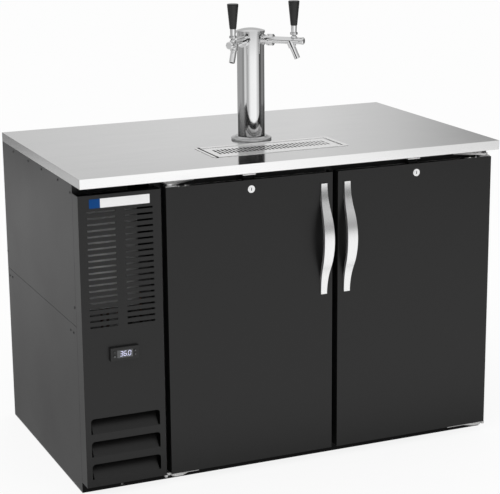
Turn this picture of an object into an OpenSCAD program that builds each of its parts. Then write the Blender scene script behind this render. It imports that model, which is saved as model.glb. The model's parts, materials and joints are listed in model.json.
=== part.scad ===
// Draft beer cooler: a low keg cabinet with two solid doors, a side grille over its condensing unit,
// a steel worktop with a drip tray, and a two-tap tower. Millimetres, +X right, +Y back, +Z up.
// The origin lies on the floor under the middle of the worktop.

/* [Cabinet] */
// Width over the side panels
cab_w = 1219.2; // [1150:0.1:1300]
// Depth of the worktop
cab_d = 733.4; // [690:0.1:780]
// Height from the floor to the worktop
cab_h = 863.6; // [830:0.1:920]
// Height of the worktop's turned-down edge
top_edge = 25.4; // [24:0.1:32]
// Sheet thickness of the worktop
top_t = 1.5; // [1:0.1:2.5]
// How far the worktop stands out past the door fronts
top_overhang = 21.4; // [15:0.1:30]
// Depth from the door fronts back to the body front
front_zone = 46.6; // [45:0.1:52]
// Height of the base
base_h = 30; // [28:0.5:40]
// Sheet thickness of the outer panels
sheet = 1.2; // [0.8:0.1:1.6]
// Thickness of the foamed walls, floor and ceiling
wall = 45; // [40:1:52]
// Sheet thickness of the inner liner
liner_t = 0.8; // [0.6:0.1:1.2]
// Depth of the face frame's bars
frame_t = 20; // [15:1:28]
// Width of the mullion between the two door openings
mullion_w = 56; // [54:1:62]
// Gap between neighbouring foam slabs and frame bars
joint_gap = 0.2; // [0.1:0.1:0.4]
// Height of the seam between the upper and lower left panels
seam_z = 461; // [420:1:500]
// Height of the base's leg sockets above the pan, and half their spread from the sides
leg_inset = 70; // [55:1:90]
// Thread hole of a leg socket
leg_hole_d = 12.7; // [10:0.1:16]
// Outside of a leg socket
leg_boss_d = 26; // [22:0.5:34]

/* [Front layout] */
// Width of the grille panel
grille_w = 222.4; // [215:0.1:240]
// Gap between the grille panel and the left door
grille_gap = 14.6; // [14.6:0.1:20]
// Gap between the two doors
door_gap = 16.4; // [12:0.1:22]
// Distance from the right door's edge to the cabinet side
side_inset = 12; // [8:0.1:18]
// Floor to the lower edge of the doors and the grille
front_bottom = 30.5; // [30:0.1:36]
// Gap over the doors, under the worktop
front_top_gap = 22.2; // [21:0.1:28]
// Depth at which the end caps sit inside the doors and the grille
cap_drop = 5; // [3:0.1:8]

/* [Louvres and scoops] */
// Rows of louvre slots
slot_rows = 20; // [16:1:22]
// Pitch of the rows
slot_pitch = 15.95; // [14:0.05:17]
// Height of a slot
slot_h = 5; // [4:0.1:7]
// Width of a slot
slot_w = 75.5; // [60:0.1:85]
// Distance between the two columns' centres
slot_mid = 101.5; // [95:0.1:110]
// From the panel's top edge to the first row
slot_drop = 44.5; // [40:0.1:52]
// Number of air scoops
scoop_count = 3; // [2:1:3]
// Width of a scoop
scoop_w = 191; // [150:0.5:200]
// Height of a scoop
scoop_h = 42; // [36:0.1:48]
// Pitch of the scoops
scoop_pitch = 63; // [58:0.1:70]
// From the panel's lower edge to the lowest scoop
scoop_lift = 21.2; // [16:0.1:30]
// How far a scoop reaches into the panel
scoop_depth = 28; // [20:0.1:36]
// Rise of a scoop's ramp
scoop_rise = 34; // [26:0.1:35]
// Radius of a scoop's upper corners
scoop_r = 9; // [4:0.1:14]
// Gap between a scoop's tongue and each end of its window
scoop_gap = 4.5; // [3:0.1:7]

/* [Controller] */
// Width of the controller's front
ctrl_w = 78; // [76:0.1:90]
// Height of the controller's front
ctrl_h = 36; // [32:0.1:42]
// From the panel's top to the controller's centre
ctrl_drop = 425.2; // [405:0.1:455]
// How far the controller's bezel stands out of the panel
ctrl_proud = 9; // [6:0.1:12]
// How far the bezel overlaps the panel round its cut-out
ctrl_lip = 3; // [2:0.1:4]
// Depth of its housing
ctrl_depth = 42; // [30:0.5:60]
// Width of the display window
lens_w = 42.6; // [36:0.1:46]
// Height of the display window
lens_h = 20.5; // [16:0.1:26]
// Thickness of the display window
lens_t = 1.6; // [1:0.1:3]
// Diameter of a key
key_d = 7; // [5:0.1:8.5]
// Height of a key
key_h = 5; // [4:0.1:7]
// How far a key stands out of the housing
key_proud = 1.2; // [1.1:0.1:1.6]
// Travel of a key
key_travel = 1; // [0.6:0.1:1]
// Distance from the controller's middle to a column of keys
key_x = 28.3; // [26:0.1:32]
// Distance between the two keys of a column
key_pitch = 10.5; // [9.5:0.1:13]

/* [Drip tray] */
// Width over the drip pan's rim
tray_w = 401; // [370:0.5:430]
// Depth over the drip pan's rim
tray_d = 145; // [130:0.5:150]
// From the worktop's front edge to the rim
tray_front = 114.5; // [100:0.5:116]
// Width of the rim on the worktop
tray_rim = 10; // [8:0.1:14]
// Thickness of the pan's sheet
pan_t = 1.2; // [1:0.1:1.6]
// Depth of the pan under the worktop
pan_depth = 20; // [16:0.1:21]
// Corner radius of the rim
rim_r = 8; // [4:0.1:12]
// Width of the two ledges that carry the grid
ledge = 6; // [4:0.1:9]
// Depth of those ledges under the worktop
ledge_drop = 3; // [2.5:0.1:4]
// Thickness of the grid
grid_t = 2.5; // [2:0.1:2.5]
// Slots in a row of the grid
grid_slots = 30; // [24:1:31]
// Pitch of the grid's slots
grid_pitch = 11.15; // [10:0.05:11.4]
// Width of a grid slot
grid_slot_w = 5; // [4:0.1:6.5]
// Length of a grid slot
grid_slot_l = 27; // [20:0.1:32]
// Bar between the two rows of slots
grid_bar = 5; // [4:0.1:8]
// Gap at each end of the grid
grid_gap = 4.5; // [2:0.1:8]
// Outside of the drain's tailpiece
drain_d = 22; // [18:0.1:26]
// Bore of the drain
drain_bore = 16; // [12:0.1:17]
// How far the tailpiece reaches below the ceiling
drain_reach = 12; // [8:0.5:20]

/* [Tower] */
// From the worktop's front edge to the tower's axis
tower_back = 327; // [325:0.5:360]
// Height of the tower
tower_h = 304.8; // [290:0.1:340]
// Outside of the column
col_d = 76.2; // [74:0.1:80]
// Wall of the column
col_t = 1.6; // [1.2:0.1:2.2]
// Outside of the base flange
flange_d = 114.3; // [112:0.1:122]
// Thickness of the flange's rim
flange_t = 6; // [5:0.1:8]
// Height of the flange's collar round the column
collar_h = 11; // [9:0.1:14]
// Thickness of that collar
collar_t = 2.4; // [2:0.1:3]
// Cold-air duct through the worktop into the column
duct_d = 56; // [50:0.5:60]
// Outside of the cap
cap_d = 80; // [79:0.1:86]
// Thickness of the cap's rim
cap_t = 6; // [5:0.1:9]
// Height of the crown on the cap
cap_crown = 7; // [4:0.1:9]
// Thread of the studs under the flange
stud_d = 8; // [6:0.1:8]
// Length of a stud under the worktop
stud_l = 14; // [12:0.1:16]
// Pitch circle of the studs
stud_pcd = 98; // [96:0.1:100]
// Size over the flats of a nut, and its height
nut_af = 13; // [11:0.1:13]
// Height of a nut
nut_h = 6.5; // [5:0.1:7]
// Height of the taps' axes over the worktop
tap_z = 280.5; // [265:0.1:284]
// Angle of each tap from straight ahead
tap_angle = 45; // [40:1:50]

/* [Taps] */
// Outside of a shank
shank_d = 23; // [22:0.1:24]
// Bore of a shank
shank_bore = 8; // [6:0.1:9]
// Outside of a shank's flange on the column
shank_flange_d = 28; // [26:0.1:30]
// Distance from the tower's axis to a shank's outer end
shank_end = 60; // [58:0.1:64]
// Outside of a coupling nut
ring_d = 31.7; // [31:0.1:34]
// Distance from the tower's axis to a coupling nut
ring_start = 49; // [48:0.1:50]
// Length of a coupling nut
ring_l = 19.5; // [19:0.1:22]
// Spanner holes round a coupling nut
ring_holes = 6; // [4:1:8]
// Diameter of a spanner hole
ring_hole_d = 4; // [3:0.1:5]
// Outside of a faucet's barrel
barrel_d = 19; // [18:0.1:19.4]
// Outside of a faucet's rear collar
rear_d = 27; // [26:0.1:27.4]
// Length of that collar
rear_l = 5.6; // [5:0.1:6]
// Distance from the tower's axis to the front cap of a faucet
barrel_end = 151; // [148:0.1:156]
// Outside of the front cap
nose_d = 20.5; // [20:0.1:22]
// Length of the front cap
nose_l = 6.5; // [5:0.1:8]
// Chamfer round the front of that cap
nose_edge = 2.6; // [1.5:0.1:3.5]
// Distance from the tower's axis to a lever
lever_r = 128; // [126:0.1:130]
// Height of a lever's pivot over the faucet's axis
pivot_up = 7.2; // [7.2:0.1:7.6]
// Radius of the dome round the pivot
dome_r = 9.15; // [9:0.05:9.4]
// Forward swing of a lever in degrees
lever_swing = 30; // [20:1:30]
// Diameter of a lever's cross pin
cross_d = 6; // [5.6:0.1:6]
// Length of a lever's cross pin
cross_l = 12; // [10:0.1:13]
// Diameter of a lever's stem
stem_d = 7; // [6:0.1:7]
// Diameter of the finger that moves the valve shaft
finger_d = 4; // [3.5:0.1:4]
// Diameter of the valve shaft
shaft_d = 7; // [6.6:0.1:7]
// Outside of the lever's collar
lever_collar_d = 21; // [19:0.1:21]
// Height of the lever's collar
lever_collar_h = 7; // [6:0.1:9]
// Outside of the ferrule
ferrule_d = 16; // [15:0.1:17]
// Height of the ferrule
ferrule_h = 18; // [15:0.1:20]
// Length of a tap handle
grip_l = 67.5; // [60:0.5:80]
// Lower end of a tap handle
grip_d0 = 18.5; // [17.5:0.1:20]
// Upper end of a tap handle
grip_d1 = 31; // [28:0.1:34]
// Stud inside a tap handle
grip_stud_d = 8; // [7:0.1:9]
// Length of that stud
grip_stud_l = 20; // [16:0.5:24]
// Distance from the tower's axis to the root of the spout
spout_root = 116; // [112:0.1:118]
// Distance from the tower's axis to the tip of the spout
spout_tip = 138; // [134:0.1:142]
// Depth of the spout's tip under the faucet's axis
spout_drop = 48.5; // [44:0.1:56]
// Outside of the spout
spout_d = 16.5; // [15:0.1:18]
// Bore of the spout
spout_bore = 12; // [10:0.1:13]
// Vent hole near the front cap
vent_d = 3; // [2:0.1:4]

/* [Doors] */
// Thickness of a door
door_t = 38.2; // [36:0.1:39]
// Width of the gasket
gasket_w = 14; // [12:0.1:16]
// From the door's hinge edge to the gasket
gasket_inset = 15.5; // [15.5:0.1:18]
// From the door's other edges to the gasket
gasket_edge = 5; // [5:0.1:6]
// Gap left between the gasket and the frame
seal_gap = 0.3; // [0.2:0.1:0.5]
// From the door's edge to its pivot
pivot_in = 15; // [14:0.1:15.5]
// From the door's front to its pivot
pivot_back = 16; // [15:0.1:17]
// Diameter of a hinge pin
pin_d = 8; // [7:0.1:9]
// Length of a hinge pin in its block
pin_l = 6; // [5:0.1:6.5]
// Thickness of an upper hinge bracket
bracket_t = 4.5; // [3.5:0.1:5]
// Thickness of a lower hinge bracket, which carries the door
seat_t = 7; // [5:0.1:8]
// Straight front edge of a lower hinge bracket
seat_flat = 18; // [10:0.5:30]
// Radius of a bracket's nose
nose_r = 11; // [10:0.1:11.5]
// From the left door's edge to the middle of its lower bracket's tab, which the grille's corner hides
tab_left = 12; // [9:0.1:14]
// The same on the right door, within the cabinet's width
tab_right = 3; // [1:0.1:5]
// Reach of a bracket along the frame
bracket_run = 80; // [60:1:95]
// How far a hinge block stands out of the door's end
block_proud = 3; // [2:0.1:3.2]
// Length of a hinge block along the door
block_l = 30; // [28:0.1:36]
// Width of a hinge block
block_w = 22; // [20:0.1:23]
// Gap between an upper hinge block and its bracket
lift_gap = 1.2; // [0.8:0.1:1.6]
// Gap between a lower hinge block and its bracket
seat_gap = 0.3; // [0.2:0.1:0.4]
// Outside of a lock's flange
lock_d = 22; // [20:0.1:24]
// Thickness of that flange
lock_rim = 2.5; // [2:0.1:3.5]
// Outside of a lock's barrel
lock_barrel_d = 18; // [16.5:0.1:19]
// Length of a lock's barrel
lock_l = 22; // [20:0.1:22.5]
// Diameter of a lock's plug
plug_d = 12; // [11:0.1:13]
// From the door's upper edge to the lock
lock_drop = 24.5; // [23:0.1:26]
// Reach of a lock's cam
cam_l = 33; // [31:0.1:34]
// Width of a lock's cam
cam_w = 12; // [10:0.1:13]
// Thickness of a lock's cam
cam_t = 3; // [2.5:0.1:3.2]
// Width of a strike plate
strike_w = 37; // [34:0.5:44]
// Thickness of a strike plate
strike_t = 2; // [1.5:0.1:2.2]
// Depth of a strike plate's lip
strike_lip = 7; // [6:0.1:7.5]

/* [Door handles] */
// Length of a handle
pull_l = 307; // [280:1:330]
// From a handle's end to the crown of its finger gap
pull_ramp = 103; // [90:1:110]
// How far a handle's ends stand out of the door
pull_end = 4; // [3:0.1:6]
// Rise of a handle from its ends to its middle
pull_rise = 35.4; // [33:0.1:40]
// Slope of the finger gap's ramps in degrees
pull_gap_slope = 19.8; // [17:0.1:21]
// Length of a foot on the door
pull_foot = 45; // [38:1:52]
// Width of a handle's ends
pull_end_w = 17.4; // [15:0.1:22]
// Flare of each side of a handle towards its middle
pull_flare = 6; // [4:0.1:8]
// From the door's meeting edge to a handle's middle
pull_inset = 26.5; // [22:0.1:34]
// From the door's upper edge to a handle's middle
pull_drop = 182.5; // [170:0.5:220]

/* [Condensing unit] */
// Width of the condenser coil
coil_w = 160; // [140:1:166]
// Depth of the condenser coil
coil_d = 40; // [30:1:50]
// Height of the condenser coil
coil_h = 300; // [260:1:320]
// Lower edge of the condenser coil over the floor
coil_z = 499; // [480:1:510]
// From the body front to the condenser coil
coil_back = 14; // [8:0.5:20]
// From the left panel to the condenser coil
coil_side = 8; // [6:0.5:12]
// Fins in the condenser coil
coil_fins = 32; // [20:1:36]
// Fan diameter
fan_d = 112; // [100:1:112]
// Gap between a fan's blades and its ring
fan_gap = 3; // [2:0.1:4]
// Fan hub diameter
hub_d = 34; // [28:0.5:40]
// Fan hub length
hub_l = 18; // [14:0.5:20]
// Blades of a fan
fan_blades = 5; // [4:1:6]
// Slant of a fan's blades in degrees
blade_slant = 24; // [16:1:28]
// Motor shaft diameter
motor_shaft_d = 6; // [5:0.1:8]
// Motor diameter
motor_d = 70; // [60:0.5:74]
// Motor length
motor_l = 46; // [36:0.5:56]
// Compressor diameter
comp_d = 150; // [130:1:160]
// Compressor height
comp_h = 190; // [170:1:220]
// Rounding of the compressor's shell
comp_r = 34; // [20:1:40]
// From the body front to the compressor's axis
comp_back = 360; // [340:1:420]
// Height of the compressor's rubber feet
comp_foot = 14; // [10:0.5:20]
// Height of the pipe stubs on the compressor's top
comp_stub = 18; // [14:0.5:24]
// Tray edge height
tray_edge = 12; // [8:0.5:16]
// Outside of the refrigerant lines
line_d = 8; // [6:0.1:9.5]
// Outside of the filter drier
drier_d = 30; // [24:0.5:34]
// Length of the filter drier
drier_l = 90; // [70:1:110]

/* [Evaporator] */
// Depth of the evaporator's cover off the wall
evap_d = 108; // [106:1:115]
// Length of the cover along the wall
evap_l = 320; // [280:1:340]
// Height of the cover
evap_h = 240; // [220:1:260]
// From the cover to the ceiling
evap_drop = 6; // [4:0.5:12]
// From the cover to the rear wall
evap_back = 60; // [40:1:90]
// Thickness of the evaporator coil
evap_coil_t = 36; // [26:1:38]
// Fins in the evaporator coil
evap_fins = 26; // [18:1:30]

/* [Hidden] */
$fn = 64;
// Clearance of a running fit on the radius
run_fit = 0.05;
// Clearance of a sliding fit on the radius
slide_fit = 0.08;
// Clearance between fixed pieces
fit = 0.1;
// Clearance round a loose or moving piece
loose = 0.3;
// Cuts run this far past a face
past = 1;
// How far two curves cross where they would only touch
lap = 0.06;

x0 = -cab_w / 2;
x1 = cab_w / 2;
y_top = -cab_d / 2;
y_door = y_top + top_overhang;
y_body = y_door + front_zone;
y_back = cab_d / 2;
z_under = cab_h - top_edge;
z_door0 = front_bottom;
z_door1 = z_under - front_top_gap;
ctrl_z = z_door1 - ctrl_drop;
ctrl_cut = [ctrl_w - 2 * ctrl_lip, ctrl_h - 2 * ctrl_lip];
door_h = z_door1 - z_door0;
xm = x0 + grille_w;
xl = xm + grille_gap;
xr = x1 - side_inset;
door_w = (xr - xl - door_gap) / 2;
gasket_t = front_zone - door_t - seal_gap;

// The foamed box: outside, then the cavity that the liner fills
foam_x0 = xm + sheet;
foam_x1 = x1 - sheet;
foam_y0 = y_body + frame_t;
foam_y1 = y_back - sheet;
cav_x0 = foam_x0 + wall;
cav_x1 = foam_x1 - wall;
cav_y1 = foam_y1 - wall;
cav_z0 = base_h + wall;
cav_z1 = z_under - wall;
mull_x = (xl + xr) / 2;

tower_y = y_top + tower_back;
tray_y = y_top + tray_front + tray_d / 2;
pan_w = tray_w - 2 * tray_rim;
pan_d = tray_d - 2 * tray_rim;
ring_end = ring_start + ring_l;
lock_u = door_w / 2;
lock_v = door_h - lock_drop;
cam_y = lock_l + loose;
strike_y = y_door + cam_y - loose - strike_t;
strike_z = z_door1 + cam_l - lock_drop + past;

coil_x0 = x0 + sheet + coil_side;
coil_x1 = coil_x0 + coil_w;
coil_y0 = y_body + coil_back;
coil_y1 = coil_y0 + coil_d;
fan_x = (coil_x0 + coil_x1) / 2;
fan_z = coil_z + coil_h / 2;
ring_hole = fan_d + 2 * fan_gap;
shroud_t = 1.5;
ring_lip = hub_l + 2;
bar_w = 14;
bar_t = 2;
post_d = 8;
tray_z = base_h;
tray_t = 2;
unit_edge = 2;
comp_x = (x0 + xm) / 2;
comp_y = y_body + comp_back;
comp_z = tray_z + tray_t + comp_foot;
line_x = coil_x1 + line_d * 2;

cover_t = 1.2;
evap_x0 = cav_x0 + liner_t;
evap_x1 = evap_x0 + evap_d;
evap_y1 = cav_y1 - liner_t - evap_back;
evap_y0 = evap_y1 - evap_l;
evap_z1 = cav_z1 - liner_t - evap_drop;
evap_z0 = evap_z1 - evap_h;
evap_y = (evap_y0 + evap_y1) / 2;
evap_z = (evap_z0 + evap_z1) / 2;

// Colours
black_paint = [0.16, 0.16, 0.165];
dark_plastic = [0.1, 0.1, 0.1];
steel = [0.8, 0.8, 0.8];
chrome = [0.87, 0.88, 0.9];
zinc = [0.66, 0.68, 0.7];
foam = [0.86, 0.8, 0.62];
copper = [0.72, 0.45, 0.3];
fin_metal = [0.72, 0.73, 0.74];
rubber = [0.07, 0.07, 0.07];

// A box between two corners
module block(a, b) {
    translate(a) cube(b - a);
}

// A round bar between two points
module run(a, b, d) {
    v = b - a;
    len = norm(v);
    translate(a) rotate([0, acos(v.z / len), atan2(v.y, v.x)]) cylinder(d = d, h = len);
}

// A pipe through points, with a brazed ball elbow at each corner
module pipe(points, d) {
    for (i = [0 : len(points) - 2]) run(points[i], points[i + 1], d);
    for (i = [1 : len(points) - 2]) translate(points[i]) sphere(d = d * 1.12);
}

// A rectangle with round corners, centred
module rounded_rect(w, d, r) {
    square([w - 2 * r, d], center = true);
    square([w, d - 2 * r], center = true);
    for (sx = [-1, 1], sy = [-1, 1])
        translate([sx * (w / 2 - r), sy * (d / 2 - r)]) circle(r = r);
}

// A solid of revolution with rounded ends
module rounded_pot(d, h, r) {
    rotate_extrude() {
        translate([0, r]) square([d / 2, h - 2 * r]);
        square([d / 2 - r, h]);
        for (z = [r, h - r]) translate([d / 2 - r, z]) circle(r = r);
    }
}

// Cabinet

module base_pan() {
    legs = [for (sx = [-1, 1], y = [y_body + leg_inset, y_back - leg_inset]) [sx * (x1 - leg_inset), y, 0]];
    pan_z = 2 * sheet;
    rail_w = leg_boss_d;
    rails = [comp_x, xm + wall / 2, mull_x, x1 - leg_inset - 2 * leg_boss_d];
    color(black_paint) difference() {
        union() {
            difference() {
                block([x0 + sheet, y_body, 0], [x1 - sheet, y_back - sheet, base_h]);
                block([x0 + 2 * sheet, y_body + sheet, pan_z], [x1 - 2 * sheet, y_back - 2 * sheet, base_h + past]);
            }
            for (p = legs) translate(p) cylinder(d = leg_boss_d, h = base_h);
            for (x = rails) block([x - rail_w / 2, y_body + sheet / 2, pan_z / 2], [x + rail_w / 2, y_back - 1.5 * sheet, base_h]);
        }
        for (p = legs) translate([p.x, p.y, -past]) cylinder(d = leg_hole_d, h = base_h - pan_z + past);
    }
}

module left_side_panels() {
    flange = 16;
    seam = 1;
    color(black_paint) for (span = [[0, seam_z - seam / 2], [seam_z + seam / 2, z_under]]) {
        block([x0, y_body, span[0]], [x0 + sheet, y_back, span[1]]);
        block([x0, y_body, max(span[0], base_h + loose)], [x0 + flange, y_body + sheet, span[1]]);
    }
}

module right_side_panel() {
    color(black_paint) block([x1 - sheet, y_body, 0], [x1, y_back, z_under]);
}

module rear_panel() {
    vents = 16;
    vent_w = 150;
    vent_h = 6;
    vent_pitch = 20;
    vent_z = 140;
    color(black_paint) difference() {
        block([x0 + sheet, y_back - sheet, 0], [x1 - sheet, y_back, z_under]);
        for (i = [0 : vents - 1])
            translate([comp_x - vent_w / 2, y_back - sheet - past, vent_z + i * vent_pitch])
                cube([vent_w, sheet + 2 * past, vent_h]);
        gland_at() cylinder(d = gland_hole_d, h = sheet + 2 * past);
    }
}

gland_hole_d = 22;
gland_z = 80;

// The cord gland's axis, pointing out of the back
module gland_at() {
    translate([comp_x, y_back - sheet - past, gland_z]) rotate([-90, 0, 0]) children();
}

module cord_gland() {
    flange = 30;
    lip = 3;
    reach = 12;
    bore = 11;
    color(rubber) gland_at() difference() {
        union() {
            translate([0, 0, past - lip]) cylinder(d = flange, h = lip);
            translate([0, 0, past]) cylinder(d = gland_hole_d - 2 * fit, h = sheet);
            translate([0, 0, past + sheet]) cylinder(d1 = flange, d2 = gland_hole_d, h = reach);
        }
        translate([0, 0, -lip]) cylinder(d = bore, h = reach + 2 * lip + sheet + past);
    }
}

module partition_panel() {
    flange = 16;
    color(black_paint) {
        block([xm, y_body, base_h], [xm + sheet, y_back - sheet, z_under]);
        block([xm - flange, y_body, base_h], [xm + sheet, y_body + sheet, z_under]);
    }
}

module insulation() {
    g = joint_gap / 2;
    color(foam) {
        difference() {
            block([foam_x0, foam_y0, cav_z1], [foam_x1, foam_y1, z_under]);
            translate([0, tower_y, cav_z1 - past]) cylinder(d = duct_d, h = wall + 2 * past);
            drain_at() cylinder(d = drain_d + 2 * loose, h = wall + 2 * past);
        }
        block([foam_x0, foam_y0, base_h], [foam_x1, foam_y1, cav_z0]);
        block([foam_x0, foam_y0, cav_z0 + g], [cav_x0, foam_y1, cav_z1 - g]);
        block([cav_x1, foam_y0, cav_z0 + g], [foam_x1, foam_y1, cav_z1 - g]);
        block([cav_x0 + g, cav_y1, cav_z0 + g], [cav_x1 - g, foam_y1, cav_z1 - g]);
    }
}

// The drain's axis, from under the foamed ceiling upward
module drain_at() {
    translate([pan_w / 4, tray_y, cav_z1 - past]) children();
}

module liner() {
    reach = drain_reach + liner_t;
    color(steel) difference() {
        union() {
            difference() {
                block([cav_x0 + fit, foam_y0, cav_z0 + fit], [cav_x1 - fit, cav_y1 - fit, cav_z1 - fit]);
                block([cav_x0 + liner_t, foam_y0 - past, cav_z0 + liner_t],
                    [cav_x1 - liner_t, cav_y1 - liner_t, cav_z1 - liner_t]);
            }
            translate([0, 0, -reach]) drain_at() cylinder(d = drain_d, h = cab_h - pan_depth - cav_z1 + past + reach);
        }
        translate([0, tower_y, cav_z1 - liner_t - past]) cylinder(d = duct_d, h = liner_t + 2 * past);
        translate([0, 0, -reach - past]) drain_at() cylinder(d = drain_bore, h = wall + reach + 2 * past);
    }
}

module face_frame() {
    g = joint_gap;
    y1 = foam_y0 - fit;
    color(dark_plastic) {
        block([foam_x0, y_body, cav_z1], [foam_x1, y1, z_under]);
        block([foam_x0, y_body, base_h], [foam_x1, y1, cav_z0]);
        block([foam_x0, y_body, cav_z0 + g], [cav_x0, y1, cav_z1 - g]);
        block([cav_x1, y_body, cav_z0 + g], [foam_x1, y1, cav_z1 - g]);
        block([mull_x - mullion_w / 2, y_body, cav_z0 + g], [mull_x + mullion_w / 2, y1, cav_z1 - g]);
    }
}

module keg_floor() {
    plate = 2;
    rib_w = 18;
    rib_h = 3;
    ribs = 12;
    a = [cav_x0 + 2 * liner_t, foam_y0, cav_z0 + liner_t];
    b = [cav_x1 - 2 * liner_t, cav_y1 - 2 * liner_t, cav_z0 + liner_t + plate];
    pitch = (b.x - a.x) / ribs;
    margin = 20;
    color(steel) {
        block(a, b);
        for (i = [0 : ribs - 1]) {
            x = a.x + pitch * (i + 0.5);
            block([x - rib_w / 2, a.y + margin, a.z + plate / 2], [x + rib_w / 2, b.y - margin, b.z + rib_h]);
        }
    }
}

module worktop() {
    color(steel) difference() {
        union() {
            difference() {
                block([x0, y_top, z_under], [x1, y_back, cab_h]);
                block([x0 + top_t, y_top + top_t, z_under - past], [x1 - top_t, y_back - top_t, cab_h - top_t]);
            }
            block([x0 + top_t / 2, y_top + top_t / 2, z_under], [x1 - top_t / 2, y_body - fit, z_under + top_t]);
        }
        translate([0, tray_y, cab_h - top_t - past]) linear_extrude(top_t + 2 * past)
            square([pan_w + 2 * loose, pan_d + 2 * loose], center = true);
        translate([0, tower_y, cab_h - top_t - past]) {
            cylinder(d = duct_d, h = top_t + 2 * past);
            studs() cylinder(d = stud_d + 2 * loose, h = top_t + 2 * past);
        }
    }
}

module drip_pan() {
    deep_d = pan_d - 2 * ledge;
    floor_z = -pan_depth;
    color(steel) difference() {
        union() {
            translate([0, tray_y, cab_h]) linear_extrude(pan_t) rounded_rect(tray_w, tray_d, rim_r);
            translate([0, tray_y, cab_h - ledge_drop - pan_t]) linear_extrude(ledge_drop + 1.5 * pan_t)
                square([pan_w, pan_d], center = true);
            translate([0, tray_y, cab_h + floor_z]) linear_extrude(pan_depth)
                square([pan_w, deep_d], center = true);
        }
        translate([0, tray_y, cab_h - ledge_drop]) linear_extrude(ledge_drop + pan_t + past)
            square([pan_w - 2 * pan_t, pan_d - 2 * pan_t], center = true);
        translate([0, tray_y, cab_h + floor_z + pan_t]) linear_extrude(pan_depth)
            square([pan_w - 2 * pan_t, deep_d - 2 * pan_t], center = true);
        drain_at() cylinder(d = drain_bore - 2 * loose, h = 2 * wall);
    }
}

module drip_grid() {
    w = pan_w - 2 * pan_t - 2 * grid_gap;
    d = pan_d - 2 * pan_t - 3 * loose;
    lift = loose / 2;
    color(steel) translate([0, tray_y, cab_h - ledge_drop + lift]) difference() {
        linear_extrude(grid_t) square([w, d], center = true);
        for (i = [0 : grid_slots - 1], s = [-1, 1])
            translate([(i - (grid_slots - 1) / 2) * grid_pitch, s * (grid_slot_l + grid_bar) / 2, grid_t / 2])
                cube([grid_slot_w, grid_slot_l, grid_t + 2 * past], center = true);
    }
}

// Grille panel and controller, drawn from the panel's lower left front corner

module on_grille() {
    translate([x0, y_door, z_door0]) children();
}

module scoop_window() {
    square([scoop_w, scoop_h - scoop_r]);
    translate([scoop_r, 0]) square([scoop_w - 2 * scoop_r, scoop_h]);
    for (x = [scoop_r, scoop_w - scoop_r]) translate([x, scoop_h - scoop_r]) circle(r = scoop_r);
}

// A profile drawn in depth and height, extruded along the panel
module along_panel(w) {
    rotate([90, 0, 90]) linear_extrude(w) children();
}

module scoop() {
    ramp_t = sheet * sqrt(pow(scoop_depth, 2) + pow(scoop_rise, 2)) / scoop_depth;
    translate([scoop_gap, 0, 0]) along_panel(scoop_w - 2 * scoop_gap)
        polygon([[0, 0], [scoop_depth, scoop_rise], [scoop_depth, scoop_rise - ramp_t], [0, -ramp_t]]);
}

module grille_panel() {
    depth = front_zone;
    mid = grille_w / 2;
    scoop_at = [for (i = [0 : scoop_count - 1]) [mid - scoop_w / 2, 0, scoop_lift + i * scoop_pitch]];
    color(black_paint) on_grille() {
        difference() {
            union() {
                difference() {
                    block([0, 0, 0], [grille_w, depth, door_h]);
                    block([sheet, sheet, -past], [grille_w - sheet, depth + past, door_h + past]);
                }
                for (z = [cap_drop, door_h - cap_drop - sheet])
                    block([sheet / 2, sheet / 2, z], [grille_w - sheet / 2, depth, z + sheet]);
            }
            for (i = [0 : slot_rows - 1], s = [-1, 1])
                translate([mid + s * slot_mid / 2, 0, door_h - slot_drop - i * slot_pitch])
                    cube([slot_w, 4 * sheet, slot_h], center = true);
            for (p = scoop_at) translate([p.x, 2 * sheet, p.z]) rotate([90, 0, 0])
                linear_extrude(4 * sheet) scoop_window();
            block([mid - ctrl_cut.x / 2, -past, ctrl_z - z_door0 - ctrl_cut.y / 2],
                  [mid + ctrl_cut.x / 2, 2 * sheet, ctrl_z - z_door0 + ctrl_cut.y / 2]);
        }
        for (p = scoop_at) translate(p) scoop();
    }
}

// The controller's middle, on its own front face
module on_controller() {
    translate([x0 + grille_w / 2, y_door - ctrl_proud, ctrl_z]) children();
}

key_at = [[-key_x, key_pitch / 2], [-key_x, -key_pitch / 2], [key_x, key_pitch / 2], [key_x, -key_pitch / 2]];

module controller_housing() {
    body = ctrl_cut / 2 - [loose, loose];
    color(dark_plastic) on_controller() difference() {
        union() {
            block([-ctrl_w / 2, 0, -ctrl_h / 2], [ctrl_w / 2, ctrl_proud, ctrl_h / 2]);
            block([-body.x, ctrl_proud / 2, -body.y], [body.x, ctrl_depth, body.y]);
        }
        block([-lens_w / 2 - fit, -past, -lens_h / 2 - fit], [lens_w / 2 + fit, lens_t, lens_h / 2 + fit]);
        for (k = key_at) translate([k[0], -past, k[1]]) rotate([-90, 0, 0])
            cylinder(d = key_d + 2 * slide_fit, h = past + key_h - key_proud + key_travel + loose);
    }
}

module display_window() {
    color([0.2, 0.21, 0.22]) on_controller()
        block([-lens_w / 2, 0, -lens_h / 2], [lens_w / 2, lens_t, lens_h / 2]);
}

module key(k) {
    color([0.22, 0.22, 0.23]) on_controller() translate([k[0], -key_proud, k[1]]) rotate([-90, 0, 0])
        cylinder(d = key_d, h = key_h);
}

module power_key() { key(key_at[0]); }
module set_key() { key(key_at[1]); }
module up_key() { key(key_at[2]); }
module down_key() { key(key_at[3]); }

// Condensing unit

module condensing_tray() {
    a = [x0 + 2 * sheet + unit_edge, coil_y0, tray_z];
    b = [xm - unit_edge, y_back - 2 * sheet - unit_edge, tray_z + tray_edge];
    color(zinc) difference() {
        block(a, b);
        block([a.x + tray_t, a.y - past, a.z + tray_t], [b.x - tray_t, b.y + past, b.z + past]);
    }
}

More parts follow.
